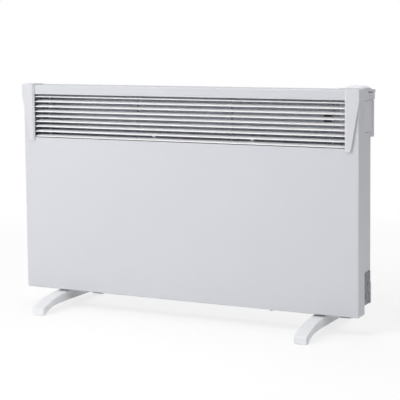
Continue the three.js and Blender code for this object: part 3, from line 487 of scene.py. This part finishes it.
def metal(name, colour_value, roughness, line_stretch, line_size, line_depth, cloud_factor=0.88):
    """Bare metal with drawn or rolled lines along one axis and a faint darker cloud."""
    material, tree = blank_material(name)
    if tree:
        where = add_node(tree, "ShaderNodeTexCoord").outputs["Object"]
        along = add_node(tree, "ShaderNodeMapping", inputs={
            "Vector": where, "Scale": tuple(1 / stretch for stretch in line_stretch),
        }).outputs["Vector"]
        lines = add_node(tree, "ShaderNodeTexNoise", inputs={
            "Vector": along, "Scale": per_metre(line_size), "Detail": 3.0, "Roughness": 0.6,
        }).outputs["Fac"]
        cloud = add_node(tree, "ShaderNodeTexNoise", inputs={
            "Vector": where, "Scale": per_metre(18.0), "Detail": 2.0, "Roughness": 0.5,
        }).outputs["Fac"]
        tone = add_node(tree, "ShaderNodeMix", COLOUR_MIX, {
            "Factor": cloud, FIRST_COLOUR: colour_value,
            SECOND_COLOUR: scaled(colour_value, cloud_factor),
        }).outputs[MIXED_COLOUR]
        sheen = add_node(tree, "ShaderNodeMapRange", inputs={
            "Value": lines, **NOISE_REACH, "To Min": roughness - 0.08, "To Max": roughness + 0.08,
        }).outputs["Result"]
        relief = add_node(tree, "ShaderNodeBump", inputs={
            "Height": lines, "Strength": 0.5, "Distance": line_depth * MM,
        }).outputs["Normal"]
        shader = add_node(tree, "ShaderNodeBsdfPrincipled", inputs={
            "Base Color": tone, "Roughness": sheen, "Normal": relief, "Metallic": 1.0,
        }).outputs["BSDF"]
        add_node(tree, "ShaderNodeOutputMaterial", inputs={"Surface": shader})
    return material


def zinc_plate():
    """Bright zinc plate on rolled steel: grey, soft-edged reflections with faint rolling lines."""
    return metal("zinc_plated_steel", srgb("#c3c6ca"), 0.38, (20.0, 1.0, 1.0), 0.5, 0.01)


def extruded_aluminium():
    """Aluminium as extruded: die lines run along the element."""
    return metal("extruded_aluminium", srgb("#c9ccd0"), 0.36, (60.0, 1.0, 1.0), 0.4, 0.02)


def copper_tube():
    """Drawn copper, slightly browned by heat."""
    return metal("drawn_copper", srgb("#b6744c"), 0.34, (1.0, 1.0, 20.0), 0.4, 0.01, 0.7)


def galvanised():
    """Hot-dip galvanised sheet left bare, inside the casing and on the combs: dull grey spangle."""
    material, tree = blank_material("galvanised_steel")
    if tree:
        zinc = srgb("#b8bcc6")
        where = add_node(tree, "ShaderNodeTexCoord").outputs["Object"]
        spangle = add_node(tree, "ShaderNodeTexVoronoi", inputs={
            "Vector": where, "Scale": per_metre(9.0),
        }).outputs["Distance"]
        mottle = add_node(tree, "ShaderNodeTexNoise", inputs={
            "Vector": where, "Scale": per_metre(5.0), "Detail": 2.0, "Roughness": 0.5,
        }).outputs["Fac"]
        tone = add_node(tree, "ShaderNodeMix", COLOUR_MIX, {
            "Factor": spangle, FIRST_COLOUR: zinc, SECOND_COLOUR: scaled(zinc, 0.75),
        }).outputs[MIXED_COLOUR]
        sheen = add_node(tree, "ShaderNodeMapRange", inputs={
            "Value": mottle, **NOISE_REACH, "To Min": 0.45, "To Max": 0.6,
        }).outputs["Result"]
        shader = add_node(tree, "ShaderNodeBsdfPrincipled", inputs={
            "Base Color": tone, "Roughness": sheen, "Metallic": 0.4,
        }).outputs["BSDF"]
        add_node(tree, "ShaderNodeOutputMaterial", inputs={"Surface": shader})
    return material


def foil_plate():
    """Bare grey aluminium foil plate: dull, with a mottle of rubbed and darker patches."""
    material, tree = blank_material("rubbed_aluminium_foil")
    if tree:
        where = add_node(tree, "ShaderNodeTexCoord").outputs["Object"]
        patches = add_node(tree, "ShaderNodeTexNoise", inputs={
            "Vector": where, "Scale": per_metre(7.0), "Detail": 3.0, "Roughness": 0.6,
        }).outputs["Fac"]
        specks = add_node(tree, "ShaderNodeTexNoise", inputs={
            "Vector": where, "Scale": per_metre(1.5), "Detail": 2.0, "Roughness": 0.5,
        }).outputs["Fac"]
        ramp = add_node(tree, "ShaderNodeValToRGB", inputs={"Fac": patches})
        dark, light = ramp.color_ramp.elements
        dark.position = 0.36
        dark.color = scaled(shade("plate"), 0.62)
        light.position = 0.62
        light.color = scaled(shade("plate"), 1.25)
        sheen = add_node(tree, "ShaderNodeMapRange", inputs={
            "Value": specks, **NOISE_REACH, "To Min": 0.42, "To Max": 0.6,
        }).outputs["Result"]
        relief = add_node(tree, "ShaderNodeBump", inputs={
            "Height": specks, "Strength": 0.3, "Distance": 0.02 * MM,
        }).outputs["Normal"]
        shader = add_node(tree, "ShaderNodeBsdfPrincipled", inputs={
            "Base Color": ramp.outputs["Color"], "Roughness": sheen, "Normal": relief,
            "Metallic": 0.35,
        }).outputs["BSDF"]
        add_node(tree, "ShaderNodeOutputMaterial", inputs={"Surface": shader})
    return material


# ------------------------------------------------------------------ casing

class HEATER_OT_front_cover(bpy.types.Operator):
    """Front cover folded from one sheet, with the air outlet cut in it"""
    bl_idname = "heater.front_cover"
    bl_label = "Front cover"

    def execute(self, context):
        size = sizes("heater_casing")
        low, high = box("front_cover")
        half_outlet = box("louvre_slat_1")[1].x + GAP
        outlet_high = high.z - size["outlet_margin"]
        outlet_low = outlet_high - size["outlet_height"]
        lip_end = low.y + size["lip"]
        inner = high.x - size["bend"]

        def in_front(middle):
            return middle.y < low.y + NEAR

        def in_outlet(middle):
            return in_front(middle) and abs(middle.x) < half_outlet and outlet_low < middle.z < outlet_high

        def below(middle):
            return middle.z < low.z + NEAR

        def in_inlet(middle):
            return below(middle) and middle.y > lip_end and abs(middle.x) < inner

        bm = box_mesh(low, high)
        drop(bm, lambda middle: middle.y > high.y - NEAR)
        round_edges(bm, size["bend"], lambda edge: not edge.is_boundary, 5)
        for x in (-half_outlet, half_outlet):
            split(bm, (x, 0, 0), (1, 0, 0), in_front)
        for z in (outlet_low, outlet_high):
            split(bm, (0, 0, z), (0, 0, 1), in_front)
        drop(bm, in_outlet)
        split(bm, (0, lip_end, 0), (0, 1, 0), below)
        for x in (-inner, inner):
            split(bm, (x, 0, 0), (1, 0, 0), below)
        drop(bm, in_inlet)
        face_outwards(bm)
        finish(
            "cover_front_sheet", bm, powder_coat(), ["front_cover"],
            sheet=size["sheet"],
        )
        return {"FINISHED"}


class HEATER_OT_slats(bpy.types.Operator):
    """Louvre slats, each rolled from thin sheet with a turned-down nose and a flat tail"""
    bl_idname = "heater.slats"
    bl_label = "Louvre slats"

    def execute(self, context):
        size = sizes("heater_casing")
        thickness = size["slat_sheet"]
        nose_lean = 0.35
        nose_height = 1.0
        tail = 1.3
        slat_count = 9
        material = slat_enamel()
        for number in range(1, slat_count + 1):
            low, high = box(f"louvre_slat_{number}")
            front = low.y + thickness / 2
            top = high.z - thickness / 2
            path = [
                (front, low.z), (front + nose_lean, low.z + nose_height), (high.y - tail, top),
                (high.y, top),
            ]
            bm = bmesh.new()
            verts = [bm.verts.new((low.x, y, z)) for y, z in path]
            edges = [bm.edges.new(pair) for pair in zip(verts, verts[1:])]
            sides = bmesh.ops.extrude_edge_only(bm, edges=edges)["geom"]
            far = [item for item in sides if isinstance(item, bmesh.types.BMVert)]
            bmesh.ops.translate(bm, verts=far, vec=(high.x - low.x, 0, 0))
            round_edges(bm, size["slat_bend"], lambda edge: len(edge.link_faces) == 2, 4)
            face_upwards(bm)
            slat = finish(
                f"slat_{number}", bm, material, [f"louvre_slat_{number}"],
                sheet=thickness,
            )
            slat.modifiers["sheet"].offset = 0.0
        return {"FINISHED"}


# ------------------------------------------------------------------ mouldings

class HEATER_OT_end_caps(bpy.types.Operator):
    """Moulded end caps: a tapered wing over the face of the cover and a band round its corner"""
    bl_idname = "heater.end_caps"
    bl_label = "End caps"

    def execute(self, context):
        material = moulded_abs()
        left = cap_shell(-1)
        finish("cap_left_moulding", left, material, ["end_cap_left"], bevel=0.25)
        right = joined(cap_shell(1), hood())
        finish("cap_right_moulding", right, material, ["end_cap_right"], bevel=0.25)
        return {"FINISHED"}


def cap_shell(side):
    """One cap without the hood; side is 1 for the right end and -1 for the left."""
    size = sizes("heater_mouldings")
    low, high = box("end_cap_left")
    cover_low, cover_high = box("front_cover")
    inner = -high.x
    outer = -low.x
    shoulder = high.z - size["cap_band"]
    outline = [
        (inner, high.z), (inner, low.z), (inner + size["cap_tip"], low.z), (outer, shoulder),
        (outer, high.z),
    ]
    radii = {1: size["cap_radius"], 2: size["cap_radius"], 4: size["cap_corner"]}
    wing = prism([(side * x, z) for x, z in outline], "Y", low.y, cover_high.y, radii)
    round_edges(
        wing, size["edge"], lambda edge: all(vert.co.y < low.y + NEAR for vert in edge.verts), 4,
    )
    slope_end = inner + size["cap_slope"]
    slope_low = low.y + 0.7 * size["cap_slope"]
    wedge = [
        (inner - REACH, low.y - REACH), (slope_end, low.y - REACH), (slope_end, low.y),
        (inner, slope_low), (inner - REACH, slope_low),
    ]
    slope = prism([(side * x, y) for x, y in wedge], "Z", low.z - REACH, high.z + REACH)
    past_rear = 200
    casing = box_mesh(
        (-cover_high.x - GAP, cover_low.y - GAP, 0),
        (cover_high.x + GAP, cover_high.y + past_rear, cover_high.z + GAP),
    )
    band_inner, band_outer = sorted((side * (cover_high.x - REACH), side * (outer + REACH)))
    below_band = box_mesh((band_inner, cover_low.y - GAP, 0), (band_outer, past_rear, shoulder))
    return cut(wing, slope, casing, below_band)


def dial():
    """The frame of the knob: its axis and where that leaves the hood, in millimetres."""
    joint = frame["record"]["behaviour"]["joints"][0]
    turn = Vector((0, 0, 1)).rotation_difference(-Vector(joint["axis"]))
    return Matrix.Translation(Vector(joint["pos_m"]) / MM) @ turn.to_matrix().to_4x4()


def on_dial(bm, lift=0.0):
    """Stands a mesh drawn round the Z axis square to the hood's sloping top."""
    bm.transform(dial() @ Matrix.Translation((0, 0, lift)))
    return bm


def hood():
    """The right cap's hood over the control housing, with its bore, side vent and rear lip."""
    size = sizes("heater_mouldings")
    low, high = box("end_cap_right")
    cover_low, cover_high = box("front_cover")
    housing_back = box("control_housing")[1].y
    wall = size["wall"]
    z_low = high.z - size["cap_band"]
    slope = size["hood_fall"] / (high.y - cover_high.y)

    def strip(y0, y1, upper, lower, x0, x1):
        """A bar along the sloping top, between two depths below it."""
        z0, z1 = (high.z - slope * (y - cover_high.y) for y in (y0, y1))
        side_view = [(y0, z0 - lower), (y1, z1 - lower), (y1, z1 - upper), (y0, z0 - upper)]
        return prism(side_view, "X", x0, x1)

    def above(depth):
        """All that lies higher than a depth below the sloping top."""
        run = (cover_high.y - 2 * REACH, high.y + 2 * REACH)
        return strip(*run, -8 * REACH, depth, low.x - REACH, high.x + REACH)

    over_cap = 4
    shell = rounded_block(
        (low.x, cover_high.y - over_cap, z_low), (high.x, housing_back + GAP, high.z),
        size["cap_radius"],
    )
    lip_inset = 2
    lip_height = 5
    lip_radius = 1.5
    lip = rounded_block(
        (low.x + lip_inset, housing_back - lip_inset, high.z - size["hood_fall"] - lip_height), high,
        lip_radius,
    )
    room = rounded_block(
        (low.x + wall, cover_high.y + GAP, z_low - REACH),
        (high.x - wall, housing_back + GAP - wall, high.z), size["housing_corner"],
    )
    casing = box_mesh(
        (-cover_high.x, cover_low.y, z_low - REACH),
        (cover_high.x + GAP, cover_high.y + GAP, cover_high.z + GAP),
    )
    bush_radius = 5
    bore = on_dial(upright_rod(bush_radius + GAP, -2 * REACH, 2 * REACH, 40))
    y_dial = dial().translation.y
    vent_run = (y_dial - size["vent_length"] / 2, y_dial + size["vent_length"] / 2)
    vent_low = size["vent_drop"] + size["vent_height"]
    vent = strip(*vent_run, size["vent_drop"], vent_low, high.x - 2 * wall, high.x + REACH)
    groove_drops = (12.4, 18.0)
    groove_height = 1.2
    groove_depth = 0.7
    grooves = [
        strip(*vent_run, depth, depth + groove_height, high.x - groove_depth, high.x + REACH)
        for depth in groove_drops
    ]
    body = cut(joined(shell, lip), above(0), cut(room, above(wall)))
    return cut(body, casing, bore, vent, *grooves)


class HEATER_OT_housing(bpy.types.Operator):
    """Control housing behind the casing, with a spigot that fits in the hood"""
    bl_idname = "heater.housing"
    bl_label = "Control housing"

    def execute(self, context):
        size = sizes("heater_mouldings")
        low, high = box("control_housing")
        tray_back = box("back_panel")[1].y
        wall = size["wall"]
        corner = size["housing_corner"]
        bay_low = box("front_cover")[1].z - size["bay_height"] + GAP
        hood_low = box("end_cap_right")[1].z - size["cap_band"] - GAP
        top = hood_low - size["reveal"]
        side = rounded_block((low.x, low.y, bay_low + size["reveal"]), (high.x, high.y, top), corner)
        rear = rounded_block((low.x, tray_back + GAP, low.z), (high.x, high.y, top), corner)
        spigot_left = low.x + size["spigot_inset"] + GAP
        spigot_right = high.x - size["spigot_inset"]
        spigot_front = low.y + 1      # leaves a step to the housing's front
        spigot_back = high.y - size["spigot_inset"]
        spigot = rounded_block(
            (spigot_left, spigot_front, hood_low - REACH), (spigot_right, spigot_back, high.z), corner,
        )
        floor = bay_low + wall
        room = rounded_block(
            (spigot_left + wall, spigot_front + wall, floor),
            (spigot_right - wall, spigot_back - wall, high.z + REACH), corner / 2,
        )
        well = box_mesh(
            (spigot_left + wall, tray_back + GAP + wall, low.z + wall),
            (spigot_right - wall, high.y - wall, floor + wall),
        )
        gland = sum(box("cable_gland"), Vector()) / 2
        gland_radius = 5
        inlet = upright_rod(
            gland_radius + GAP, low.z - REACH, low.z + REACH, 32, gland.x, gland.y,
        )
        bulb = box("sensor_bulb")[0]
        bulb_radius = 3.2
        tube_hole = 2.5
        tube = upright_rod(
            tube_hole, floor - 2 * REACH, floor + 2 * REACH, 24, bulb.x + bulb_radius,
            bulb.y + bulb_radius,
        )
        groove_front = tray_back - 6
        groove_back = tray_back + 5
        groove = box_mesh(
            (high.x - size["housing_groove"], groove_front, low.z - REACH),
            (high.x + REACH, groove_back, hood_low),
        )
        body = cut(joined(side, rear, spigot), room, well, inlet, tube, groove)
        finish("housing_moulding", body, moulded_abs(), ["control_housing"], bevel=0.3)
        return {"FINISHED"}


class HEATER_OT_knob(bpy.types.Operator):
    """Thermostat knob: a low dome with a flat top and an index groove, hollow round its hub"""
    bl_idname = "heater.knob"
    bl_label = "Thermostat knob"

    def execute(self, context):
        low, high = box("thermostat_knob")
        size = sizes("heater_mouldings")
        radius = (high.x - low.x) / 2
        top = size["knob_top"] / 2
        tall = size["knob_height"]
        skin = 2
        edge = 0.3
        ring = 1.6                                # width of the ring it stands on
        hub = size["spindle"] / 2 + 2.4
        rim = (radius, 0.9)                       # each a distance from the axis and a height
        shoulder = (radius - 0.8, 1.8)
        brow = (top, tall - 0.15)
        hollow = [
            (0, edge), (hub, edge), (hub, tall - skin), (9, tall - skin - 0.2),
            (radius - ring - 1, 0.6), (radius - ring, 0),
        ]
        dome = quadratic(rim, (radius, 1.5), shoulder, 4)
        dome += quadratic(shoulder, (top + 3.2, tall - 0.6), brow, 10)
        dome += quadratic(brow, (top - 1.2, tall), (top - 3, tall), 4)
        profile = [*hollow, (radius - edge, 0), (radius, edge), rim, *dome, (0, tall)]
        knob = spun(profile, 96)
        half_mark = 0.6
        mark_depth = 3.4
        mark = box_mesh(
            (-half_mark, -radius - 1, tall - mark_depth), (half_mark, -top - 2, tall + 1),
        )
        flat = size["spindle"] / 2 - 1.2 + GAP    # the spindle's flat, from its axis
        bore = cut(
            upright_rod(size["spindle"] / 2 + GAP, -1, tall - skin + 0.2, 24),
            box_mesh((-REACH, flat, -2), (REACH, REACH, tall)),
        )
        bm = on_dial(cut(knob, mark, bore), GAP)
        finish("knob_dome", bm, polished_abs(), ["thermostat_knob"], body="dial")
        return {"FINISHED"}


class HEATER_OT_feet(bpy.types.Operator):
    """Two moulded feet, each a low arch with a saddle under the casing"""
    bl_idname = "heater.feet"
    bl_label = "Feet"

    def execute(self, context):
        for side in ("left", "right"):
            bm = foot_mesh(side, *box(f"foot_{side}"))
            finish(
                f"foot_{side}_moulding", bm, foot_abs(), [f"foot_{side}"], sharp=38.0,
            )
        return {"FINISHED"}


def foot_mesh(side, low, high):
    """One foot with its saddle, hollow below, with pockets for the pads."""
    size = sizes("heater_mouldings")
    end = high.y
    arch = size["foot_arch"]
    nose = size["foot_nose"]
    under_cover = 4.5
    top = box("front_cover")[0].z - under_cover
    sole = 10
    sole_end = (-end + sole, low.z)
    arch_pull = (-end + 18, arch - 3)         # middle points of the curves
    arch_start = (-end + size["foot_arch_run"], arch)
    under = [(-end, low.z), sole_end]
    under += quadratic(sole_end, arch_pull, arch_start, 14)
    top_start = (-end + size["foot_top_run"], top)
    top_pull = (-end + 42, top - 2.5)
    toe_top = (-end + 2, nose + 1.2)
    toe_pull = (-end, nose)
    toe_low = (-end, nose - 1.5)
    over = [top_start]
    over += quadratic(top_start, top_pull, toe_top, 16)
    over += quadratic(toe_top, toe_pull, toe_low, 3)
    body = prism(under + mirrored(under) + mirrored(over) + over, "X", low.x, high.x)
    bmesh.ops.remove_doubles(body, verts=list(body.verts), dist=1e-3)

    def is_long_edge(edge):
        """An edge of the foot's sides, but not one on the floor."""
        across = abs(edge.verts[0].co.x - edge.verts[1].co.x)
        return across < NEAR and not all(vert.co.z < low.z + NEAR for vert in edge.verts)

    edge_radius = 1.8
    round_edges(body, edge_radius, is_long_edge, 4)
    saddle_front = box("front_cover")[0].y + sizes("heater_casing")["lip"] + 2
    saddle_back = box("back_panel")[1].y - 4
    saddle_inset = 1.4
    saddle_radius = 3
    saddle = rounded_block(
        (low.x + saddle_inset, saddle_front, top - saddle_radius),
        (high.x - saddle_inset, saddle_back, high.z), saddle_radius,
    )
    return cut(joined(body, saddle), foot_cells(low, high, top), *pad_pockets(side))


def foot_cells(low, high, top):
    """The hollow under a foot, less its cross ribs and screw bosses."""
    size = sizes("heater_mouldings")
    toe = 26                                  # solid length of each toe
    end = high.y
    under = -1                                # the sloping end walls start here, below the floor
    roof = top - size["foot_wall"]
    toe_roof = (-end + toe, size["foot_nose"] + 1)
    roof_pull = (-end + 46, roof - 4)
    roof_start = (-end + size["foot_top_run"], roof)
    haunch = quadratic(toe_roof, roof_pull, roof_start, 10)
    outline = [(-end + toe, under), (end - toe, under), *((-y, z) for y, z in haunch), *haunch[::-1]]
    room = prism(outline, "X", low.x + size["foot_wall"], high.x - size["foot_wall"])
    half_boss = 6.5
    half_rib = 1
    walls = ((16, half_boss), (44, half_rib), (74, half_rib))    # place along the foot, half width
    return cut(room, *(
        box_mesh((low.x, way * y - half, under - REACH), (high.x, way * y + half, high.z))
        for y, half in walls for way in (-1, 1)
    ))


def pad_pockets(side):
    """Shallow pockets that one foot's rubber pads sit in."""
    pockets = []
    for end in ("front", "rear"):
        low, high = box(f"pad_{end}_{side}")
        pockets.append(box_mesh(
            (low.x - GAP, low.y - GAP, low.z - REACH), (high.x + GAP, high.y + GAP, high.z + GAP),
        ))
    return pockets


# ------------------------------------------------------------------ pieces refined from the frame

def refined(node):
    """A merged copy of a node's mesh with its flat faces whole again, in millimetres."""
    bm = bmesh.new()
    bm.from_mesh(frame["nodes"][node].data)
    bmesh.ops.scale(bm, verts=list(bm.verts), vec=(1 / MM, 1 / MM, 1 / MM))
    bmesh.ops.remove_doubles(bm, verts=list(bm.verts), dist=1e-3)
    bmesh.ops.dissolve_limit(
        bm, angle_limit=math.radians(0.4), verts=list(bm.verts), edges=list(bm.edges),
        delimit={"NORMAL"},
    )
    bmesh.ops.recalc_face_normals(bm, faces=list(bm.faces))
    return bm


def refine(material, nodes, bevel, body="root", sharp=32.0):
    """Rounds the edges of some nodes and smooths their curved faces; returns the last piece."""
    for node in nodes:
        piece = finish(
            f"{node}_piece", refined(node), material, [node], body, sharp, bevel,
        )
    return piece


class HEATER_OT_rear_tray(bpy.types.Operator):
    """Rear tray: white coated outside, bare galvanised sheet inside, with its slots and beads"""
    bl_idname = "heater.rear_tray"
    bl_label = "Rear tray"

    def execute(self, context):
        low, high = box("back_panel")
        bm = refined("back_panel")
        tray = finish(
            "rear_tray_sheet", bm, powder_coat(), ["back_panel"], bevel=0.15,
        )
        tray.data.materials.append(galvanised())
        middle = (low + high) / 2 * MM
        skin = 0.6 * sizes("heater_casing")["sheet"] * MM    # a little over half the sheet
        for face in tray.data.polygons:
            inwards = face.normal.dot(middle - face.center) > 0
            deep = all(
                low[axis] * MM + skin < face.center[axis] < high[axis] * MM - skin
                for axis in range(3)
            )
            if inwards and deep:
                face.material_index = 1
        return {"FINISHED"}


class HEATER_OT_combs(bpy.types.Operator):
    """Pressed combs that hold the slats from behind"""
    bl_idname = "heater.combs"
    bl_label = "Slat combs"

    def execute(self, context):
        refine(galvanised(), [f"grille_rib_{number}" for number in range(1, 5)], 0.12)
        return {"FINISHED"}


class HEATER_OT_fittings(bpy.types.Operator):
    """Heat shield, side plate, wall spacers, screws and foot pads"""
    bl_idname = "heater.fittings"
    bl_label = "Fittings"

    def execute(self, context):
        shield = refine(galvanised(), ["heat_shield"], 0.1)
        shield.data.materials.append(slat_enamel())
        tip_height = 9      # the tongues' tips behind the lowest slats are enamelled
        tips_from = (box("heat_shield")[1].z - tip_height) * MM
        for face in shield.data.polygons:
            if face.center.z > tips_from:
                face.material_index = 1
        refine(foil_plate(), ["blank_plate"], 0.1)
        refine(moulded_abs(), ["wall_spacer_left", "wall_spacer_right"], 0.4)
        screws = [f"cover_screw_{number}" for number in (1, 2)]
        screws += [f"foot_screw_{number}" for number in (1, 2, 3, 4)]
        refine(zinc_plate(), screws, 0.15, sharp=50.0)
        pads = [f"pad_{end}_{side}" for end in ("front", "rear") for side in ("left", "right")]
        refine(moulded_rubber(), pads, 0.3)
        return {"FINISHED"}


class HEATER_OT_element(bpy.types.Operator):
    """Heating element: finned aluminium body, steel rod, ceramic bushes and their brackets"""
    bl_idname = "heater.element"
    bl_label = "Heating element"

    def execute(self, context):
        refine(extruded_aluminium(), ["element_fins"], 0.3)
        refine(zinc_plate(), ["element_core"], 0.2, sharp=40.0)
        refine(galvanised(), ["element_bracket_left", "element_bracket_right"], 0.15)
        refine(steatite(), ["insulator_left", "insulator_right"], 0.3, sharp=40.0)
        return {"FINISHED"}


class HEATER_OT_controls(bpy.types.Operator):
    """Thermostat, its spindle and bulb, terminal block, cable gland and thermal cut-out"""
    bl_idname = "heater.controls"
    bl_label = "Inner controls"

    def execute(self, context):
        housed = ["thermostat_body", "cable_gland", "thermal_cutout"]
        refine(black_nylon(), housed, 0.3, sharp=35.0)
        refine(zinc_plate(), ["thermostat_spindle"], 0.2, "dial")
        refine(copper_tube(), ["sensor_bulb"], 0.0, sharp=50.0)
        refine(steatite(), ["terminal_block"], 0.3)
        return {"FINISHED"}


# ------------------------------------------------------------------ stage, in metres and watts

class HEATER_OT_studio(bpy.types.Operator):
    """Pale floor, soft lamps and the camera at the photograph's viewing angle"""
    bl_idname = "heater.studio"
    bl_label = "Studio"

    def execute(self, context):
        make_camera()
        make_floor()
        make_world()
        lamp("key", (-1.9, -2.3, 1.5), (0.0, 0.0, 0.3), 1.4, 33.0)
        lamp("fill", (2.3, -0.5, 1.8), (0.0, 0.0, 0.25), 1.4, 10.5)
        lamp("top", (-0.5, -1.5, 2.4), (0.0, 0.0, 0.3), 1.4, 28.0)
        lamp("rear", (-0.2, 0.7, 2.3), (0.0, 0.0, 0.3), 1.2, 15.0)
        bpy.context.scene.view_settings.view_transform = "Standard"
        return {"FINISHED"}


def make_camera():
    """The view was solved from the edges of the casing, outlet and feet in the photograph."""
    place = Vector((1.242, -2.415, 0.629))
    yaw, pitch, roll = (math.radians(angle) for angle in (26.73, 5.30, -0.56))
    focal_pixels = 1296
    frame_pixels = 400
    centre_row = 140
    data = bpy.data.cameras.new("view")
    data.sensor_width = 36.0
    data.lens = data.sensor_width * focal_pixels / frame_pixels
    data.shift_y = (centre_row - frame_pixels / 2) / frame_pixels
    camera = bpy.data.objects.new("view", data)
    tilt = Matrix.Rotation(math.pi / 2 - pitch, 4, "X") @ Matrix.Rotation(roll, 4, "Z")
    camera.matrix_world = Matrix.Translation(place) @ Matrix.Rotation(yaw, 4, "Z") @ tilt
    bpy.context.scene.collection.objects.link(camera)
    bpy.context.scene.camera = camera


def lamp(name, place, target, size, power):
    data = bpy.data.lights.new(name, "AREA")
    data.size = size
    data.energy = power
    light = bpy.data.objects.new(name, data)
    light.location = place
    light.rotation_euler = (Vector(target) - Vector(place)).to_track_quat("-Z", "Y").to_euler()
    bpy.context.scene.collection.objects.link(light)


def make_floor():
    """White paper floor that keeps the object's shadow and fades to the plain background."""
    bm = bmesh.new()
    bmesh.ops.create_grid(bm, x_segments=1, y_segments=1, size=20.0)
    mesh = bpy.data.meshes.new("floor")
    bm.to_mesh(mesh)
    bm.free()
    floor = bpy.data.objects.new("floor", mesh)
    bpy.context.scene.collection.objects.link(floor)
    material, tree = blank_material("paper_floor")
    if tree:
        paper = add_node(tree, "ShaderNodeBsdfDiffuse", inputs={"Color": shade("floor")})
        glow = add_node(tree, "ShaderNodeEmission", inputs={"Color": (1, 1, 1, 1), "Strength": 1.0})
        where = add_node(tree, "ShaderNodeTexCoord").outputs["Object"]
        far = add_node(tree, "ShaderNodeVectorMath", {"operation": "LENGTH"}, {0: where})
        fade = add_node(tree, "ShaderNodeMapRange", inputs={
            "Value": far.outputs["Value"], "From Min": 0.6, "From Max": 1.6, "To Min": 0.75,
            "To Max": 1.0,
        })
        path = add_node(tree, "ShaderNodeLightPath")
        seen = add_node(tree, "ShaderNodeMath", {"operation": "MULTIPLY"}, {
            0: path.outputs["Is Camera Ray"], 1: fade.outputs["Result"],
        })
        mix = add_node(tree, "ShaderNodeMixShader", inputs={
            "Fac": seen.outputs["Value"], 1: paper.outputs["BSDF"], 2: glow.outputs["Emission"],
        })
        add_node(tree, "ShaderNodeOutputMaterial", inputs={"Surface": mix.outputs["Shader"]})
    mesh.materials.append(material)


def make_world():
    """A dim even room for the object, and plain white where the camera sees it."""
    world = bpy.data.worlds.new("studio")
    bpy.context.scene.world = world
    world.use_nodes = True
    tree = world.node_tree
    tree.nodes.clear()
    white = (1, 1, 1, 1)
    room = add_node(tree, "ShaderNodeBackground", inputs={"Color": white, "Strength": 0.3})
    plain = add_node(tree, "ShaderNodeBackground", inputs={"Color": white, "Strength": 1.0})
    path = add_node(tree, "ShaderNodeLightPath")
    seen = add_node(tree, "ShaderNodeMath", {"operation": "MAXIMUM"}, {
        0: path.outputs["Is Camera Ray"], 1: path.outputs["Is Transmission Ray"],
    })
    mix = add_node(tree, "ShaderNodeMixShader", inputs={
        "Fac": seen.outputs["Value"], 1: room.outputs["Background"], 2: plain.outputs["Background"],
    })
    add_node(tree, "ShaderNodeOutputWorld", inputs={"Surface": mix.outputs["Shader"]})


# ------------------------------------------------------------------ panel and running

OPERATORS = (
    HEATER_OT_studio, HEATER_OT_front_cover, HEATER_OT_rear_tray, HEATER_OT_slats, HEATER_OT_combs,
    HEATER_OT_end_caps, HEATER_OT_housing, HEATER_OT_knob, HEATER_OT_controls, HEATER_OT_element,
    HEATER_OT_fittings, HEATER_OT_feet,
)

GROUPS = {
    "heater_casing": HeaterCasingSizes, "heater_mouldings": HeaterMouldingSizes,
    "heater_colours": HeaterColours,
}


class HEATER_PT_panel(bpy.types.Panel):
    """Sizes, colours and the buttons that build each group of pieces"""
    bl_idname = "HEATER_PT_panel"
    bl_label = "Panel convector heater"
    bl_space_type = "VIEW_3D"
    bl_region_type = "UI"
    bl_category = "Heater"

    def draw(self, context):
        layout = self.layout
        for group in GROUPS:
            values = getattr(context.scene, group)
            column = layout.column()
            for key in values.__annotations__:
                column.prop(values, key)
        for operator in OPERATORS:
            layout.operator(operator.bl_idname)


CLASSES = (*GROUPS.values(), *OPERATORS, HEATER_PT_panel)


def register():
    for item in CLASSES:
        bpy.utils.register_class(item)
    for group, kind in GROUPS.items():
        setattr(bpy.types.Scene, group, bpy.props.PointerProperty(type=kind))


def unregister():
    for group in GROUPS:
        delattr(bpy.types.Scene, group)
    for item in reversed(CLASSES):
        bpy.utils.unregister_class(item)


def main():
    register()
    for operator in OPERATORS:
        group, name = operator.bl_idname.split(".")
        getattr(getattr(bpy.ops, group), name)()


if __name__ == "__main__":
    main()
